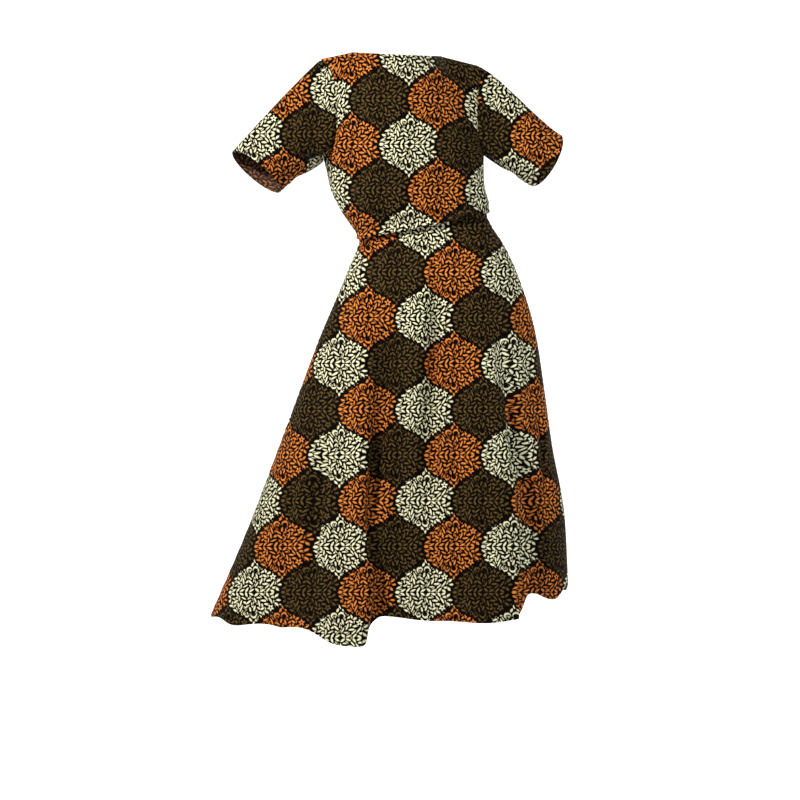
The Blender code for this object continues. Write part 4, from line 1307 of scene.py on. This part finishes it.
def makeWaistband():
    roll = math.radians(waistband["roll"])
    right = np.array([math.cos(roll), 0, math.sin(roll)])
    upward = np.array([-math.sin(roll), 0, math.cos(roll)])
    angle = np.arange(waistband["columns"]) * 2 * math.pi / waistband["columns"]
    heights = np.linspace(waistband["low"], waistband["height"], waistband["rows"] + 1)
    many, fewer = waistband["gathers"]
    wave = np.cos(angle * many + 0.8 * np.sin(5 * angle)) + 0.5 * np.cos(angle * fewer + 1)
    hold = np.ones_like(heights)
    flatter, reach = waistband["flatter"]
    for at in waistband["stitchRows"]:
        hold -= flatter * bell((heights - at) / reach)
    inward = waistband["gatherDepth"] * (0.5 + 0.33 * wave)[None] * hold[:, None]
    ring = stacked(np.sin(angle), -np.cos(angle), 0.0)
    halfWidth, depth = waistband["halfWidth"] - inward, waistband["depth"] - inward
    grid = (
        right * (halfWidth * ring[None, :, 0])[..., None]
        + np.array([0, 1, 0]) * (depth * ring[None, :, 1])[..., None]
        + upward * heights[:, None, None]
    )
    normals = gridNormals(grid, closed=True)
    run = lengthAlong(np.concatenate([grid[0], grid[0, :1]]))
    places = np.stack(np.broadcast_arrays(run[None], heights[:, None]), axis=-1)
    looks = bothSides("print_waistband", waistband["middle"])
    piece = clothShell("waistband_cloth", grid, normals, places, True, np.zeros(grid.shape[:2]), looks)
    lines = []
    for at in waistband["stitchRows"]:
        row = int(np.argmin(np.abs(heights - at)))
        path = grid[row] - normals[row] * cloth["thickness"] / 2
        lines.append((np.concatenate([path, path[:1]]), -np.concatenate([normals[row], normals[row][:1]])))
    threads = stitches("waistband_stitches", lines, thread)
    return fitted(piece, threads, "waistband")


waistPieces = makeWaistband()
print("waistband made")
# Floor, backdrop, light and camera
studio = {
    "floor": -1.239,
    "before": -9.0,  # where the paper starts in front, and how far it runs to each side
    "side": 40.0,
    "behind": 3.0,  # where it starts to bend up, the radius of the bend, and the height of its top
    "round": 1.6,
    "wall": 9.0,
    "paper": (0.66, 0.66, 0.66),
    "grain": (3.0, 0.99),  # scale of the paper's mottling, and its darkest share of the colour
    "rough": 0.9,
    "shine": 0.1,
    "glow": 0.80,
    "glowFrom": (-1.0, -0.15),  # the paper glows behind this stretch, front to back
    "sky": (0.93, 0.95, 1.0),
    "skyStrength": 0.12,
    # place, aim, size, spread in degrees, watts, colour
    "lamps": (
        ((-2.7, -3.6, 2.2), (-0.1, 0.0, 0.1), 0.6, 70, 39, (1.0, 0.98, 0.95)),
        ((3.2, -2.3, 1.0), (0.16, 0.0, -0.06), 0.9, 46, 4.4, (0.96, 0.98, 1.0)),
        ((0.9, 2.4, 2.6), (0.0, 0.0, 0.0), 1.6, 180, 45, (1.0, 1.0, 1.0)),
    ),
}


def makePaper():
    turn = np.linspace(0, math.pi / 2, 25)
    behind, floor, radius = studio["behind"], studio["floor"], studio["round"]
    profile = [(studio["before"], floor)]
    profile += [(behind + radius * math.sin(a), floor + radius * (1 - math.cos(a))) for a in turn]
    profile.append((behind + radius, studio["wall"]))
    points = np.array([(x, y, z) for y, z in profile for x in (-studio["side"], studio["side"])])
    faces = np.array([(2 * k, 2 * k + 1, 2 * k + 3, 2 * k + 2) for k in range(len(profile) - 1)])
    paper = bpy.data.materials.new("pale_paper")
    paper.use_nodes = True
    tree = paper.node_tree
    shader = tree.nodes["Principled BSDF"]
    spot = Wire(tree, shader.outputs[0]).node("ShaderNodeTexCoord", {}, {}, "Object")
    scale, darkest = studio["grain"]
    grain = spot.node("ShaderNodeTexNoise", {}, {"Vector": spot, "Scale": scale, "Detail": 2})
    tone = grain.mixed((*(c * darkest for c in studio["paper"]), 1), (*studio["paper"], 1), True)
    tree.links.new(tone.socket, shader.inputs["Base Color"])
    shader.inputs["Roughness"].default_value = studio["rough"]
    shader.inputs["Specular IOR Level"].default_value = studio["shine"]
    _, depth, _ = spot.parts()
    lit = depth.above(*studio["glowFrom"]).mixed((0, 0, 0, 1), (1, 1, 1, 1), True)
    tree.links.new(lit.socket, shader.inputs["Emission Color"])
    shader.inputs["Emission Strength"].default_value = studio["glow"]
    floorPiece = makePiece("pale_floor", points, faces, paper)


def makeLight():
    world = bpy.data.worlds.new("soft_sky")
    bpy.context.scene.world = world
    world.use_nodes = True
    background = world.node_tree.nodes["Background"]
    background.inputs["Color"].default_value = (*studio["sky"], 1)
    background.inputs["Strength"].default_value = studio["skyStrength"]
    for k, (place, aim, size, lampSpread, watts, colour) in enumerate(studio["lamps"]):
        lamp = bpy.data.lights.new("lamp" + str(k), "AREA")
        lamp.shape, lamp.size, lamp.energy, lamp.color = "DISK", size, watts, colour
        lamp.spread = math.radians(lampSpread)
        holder = bpy.data.objects.new("lamp" + str(k), lamp)
        bpy.context.scene.collection.objects.link(holder)
        holder.location = place
        way = bpy.data.objects.new("aim" + str(k), None)
        way.location = aim
        bpy.context.scene.collection.objects.link(way)
        holder.constraints.new("TRACK_TO").target = way
    bpy.context.scene.view_settings.view_transform = "Standard"


def makeCamera():
    lens = bpy.data.cameras.new("camera")
    lens.sensor_width = sight["sensor"]
    lens.lens = sight["lens"]
    lens.shift_x, lens.shift_y = sight["shift"]
    camera = bpy.data.objects.new("camera", lens)
    camera.location = (sight["x"], -sight["distance"], sight["z"])
    camera.rotation_euler = (math.radians(90 - sight["downward"]), 0, 0)
    bpy.context.scene.collection.objects.link(camera)
    bpy.context.scene.camera = camera


makePaper()
makeLight()
makeCamera()
print("studio ready")
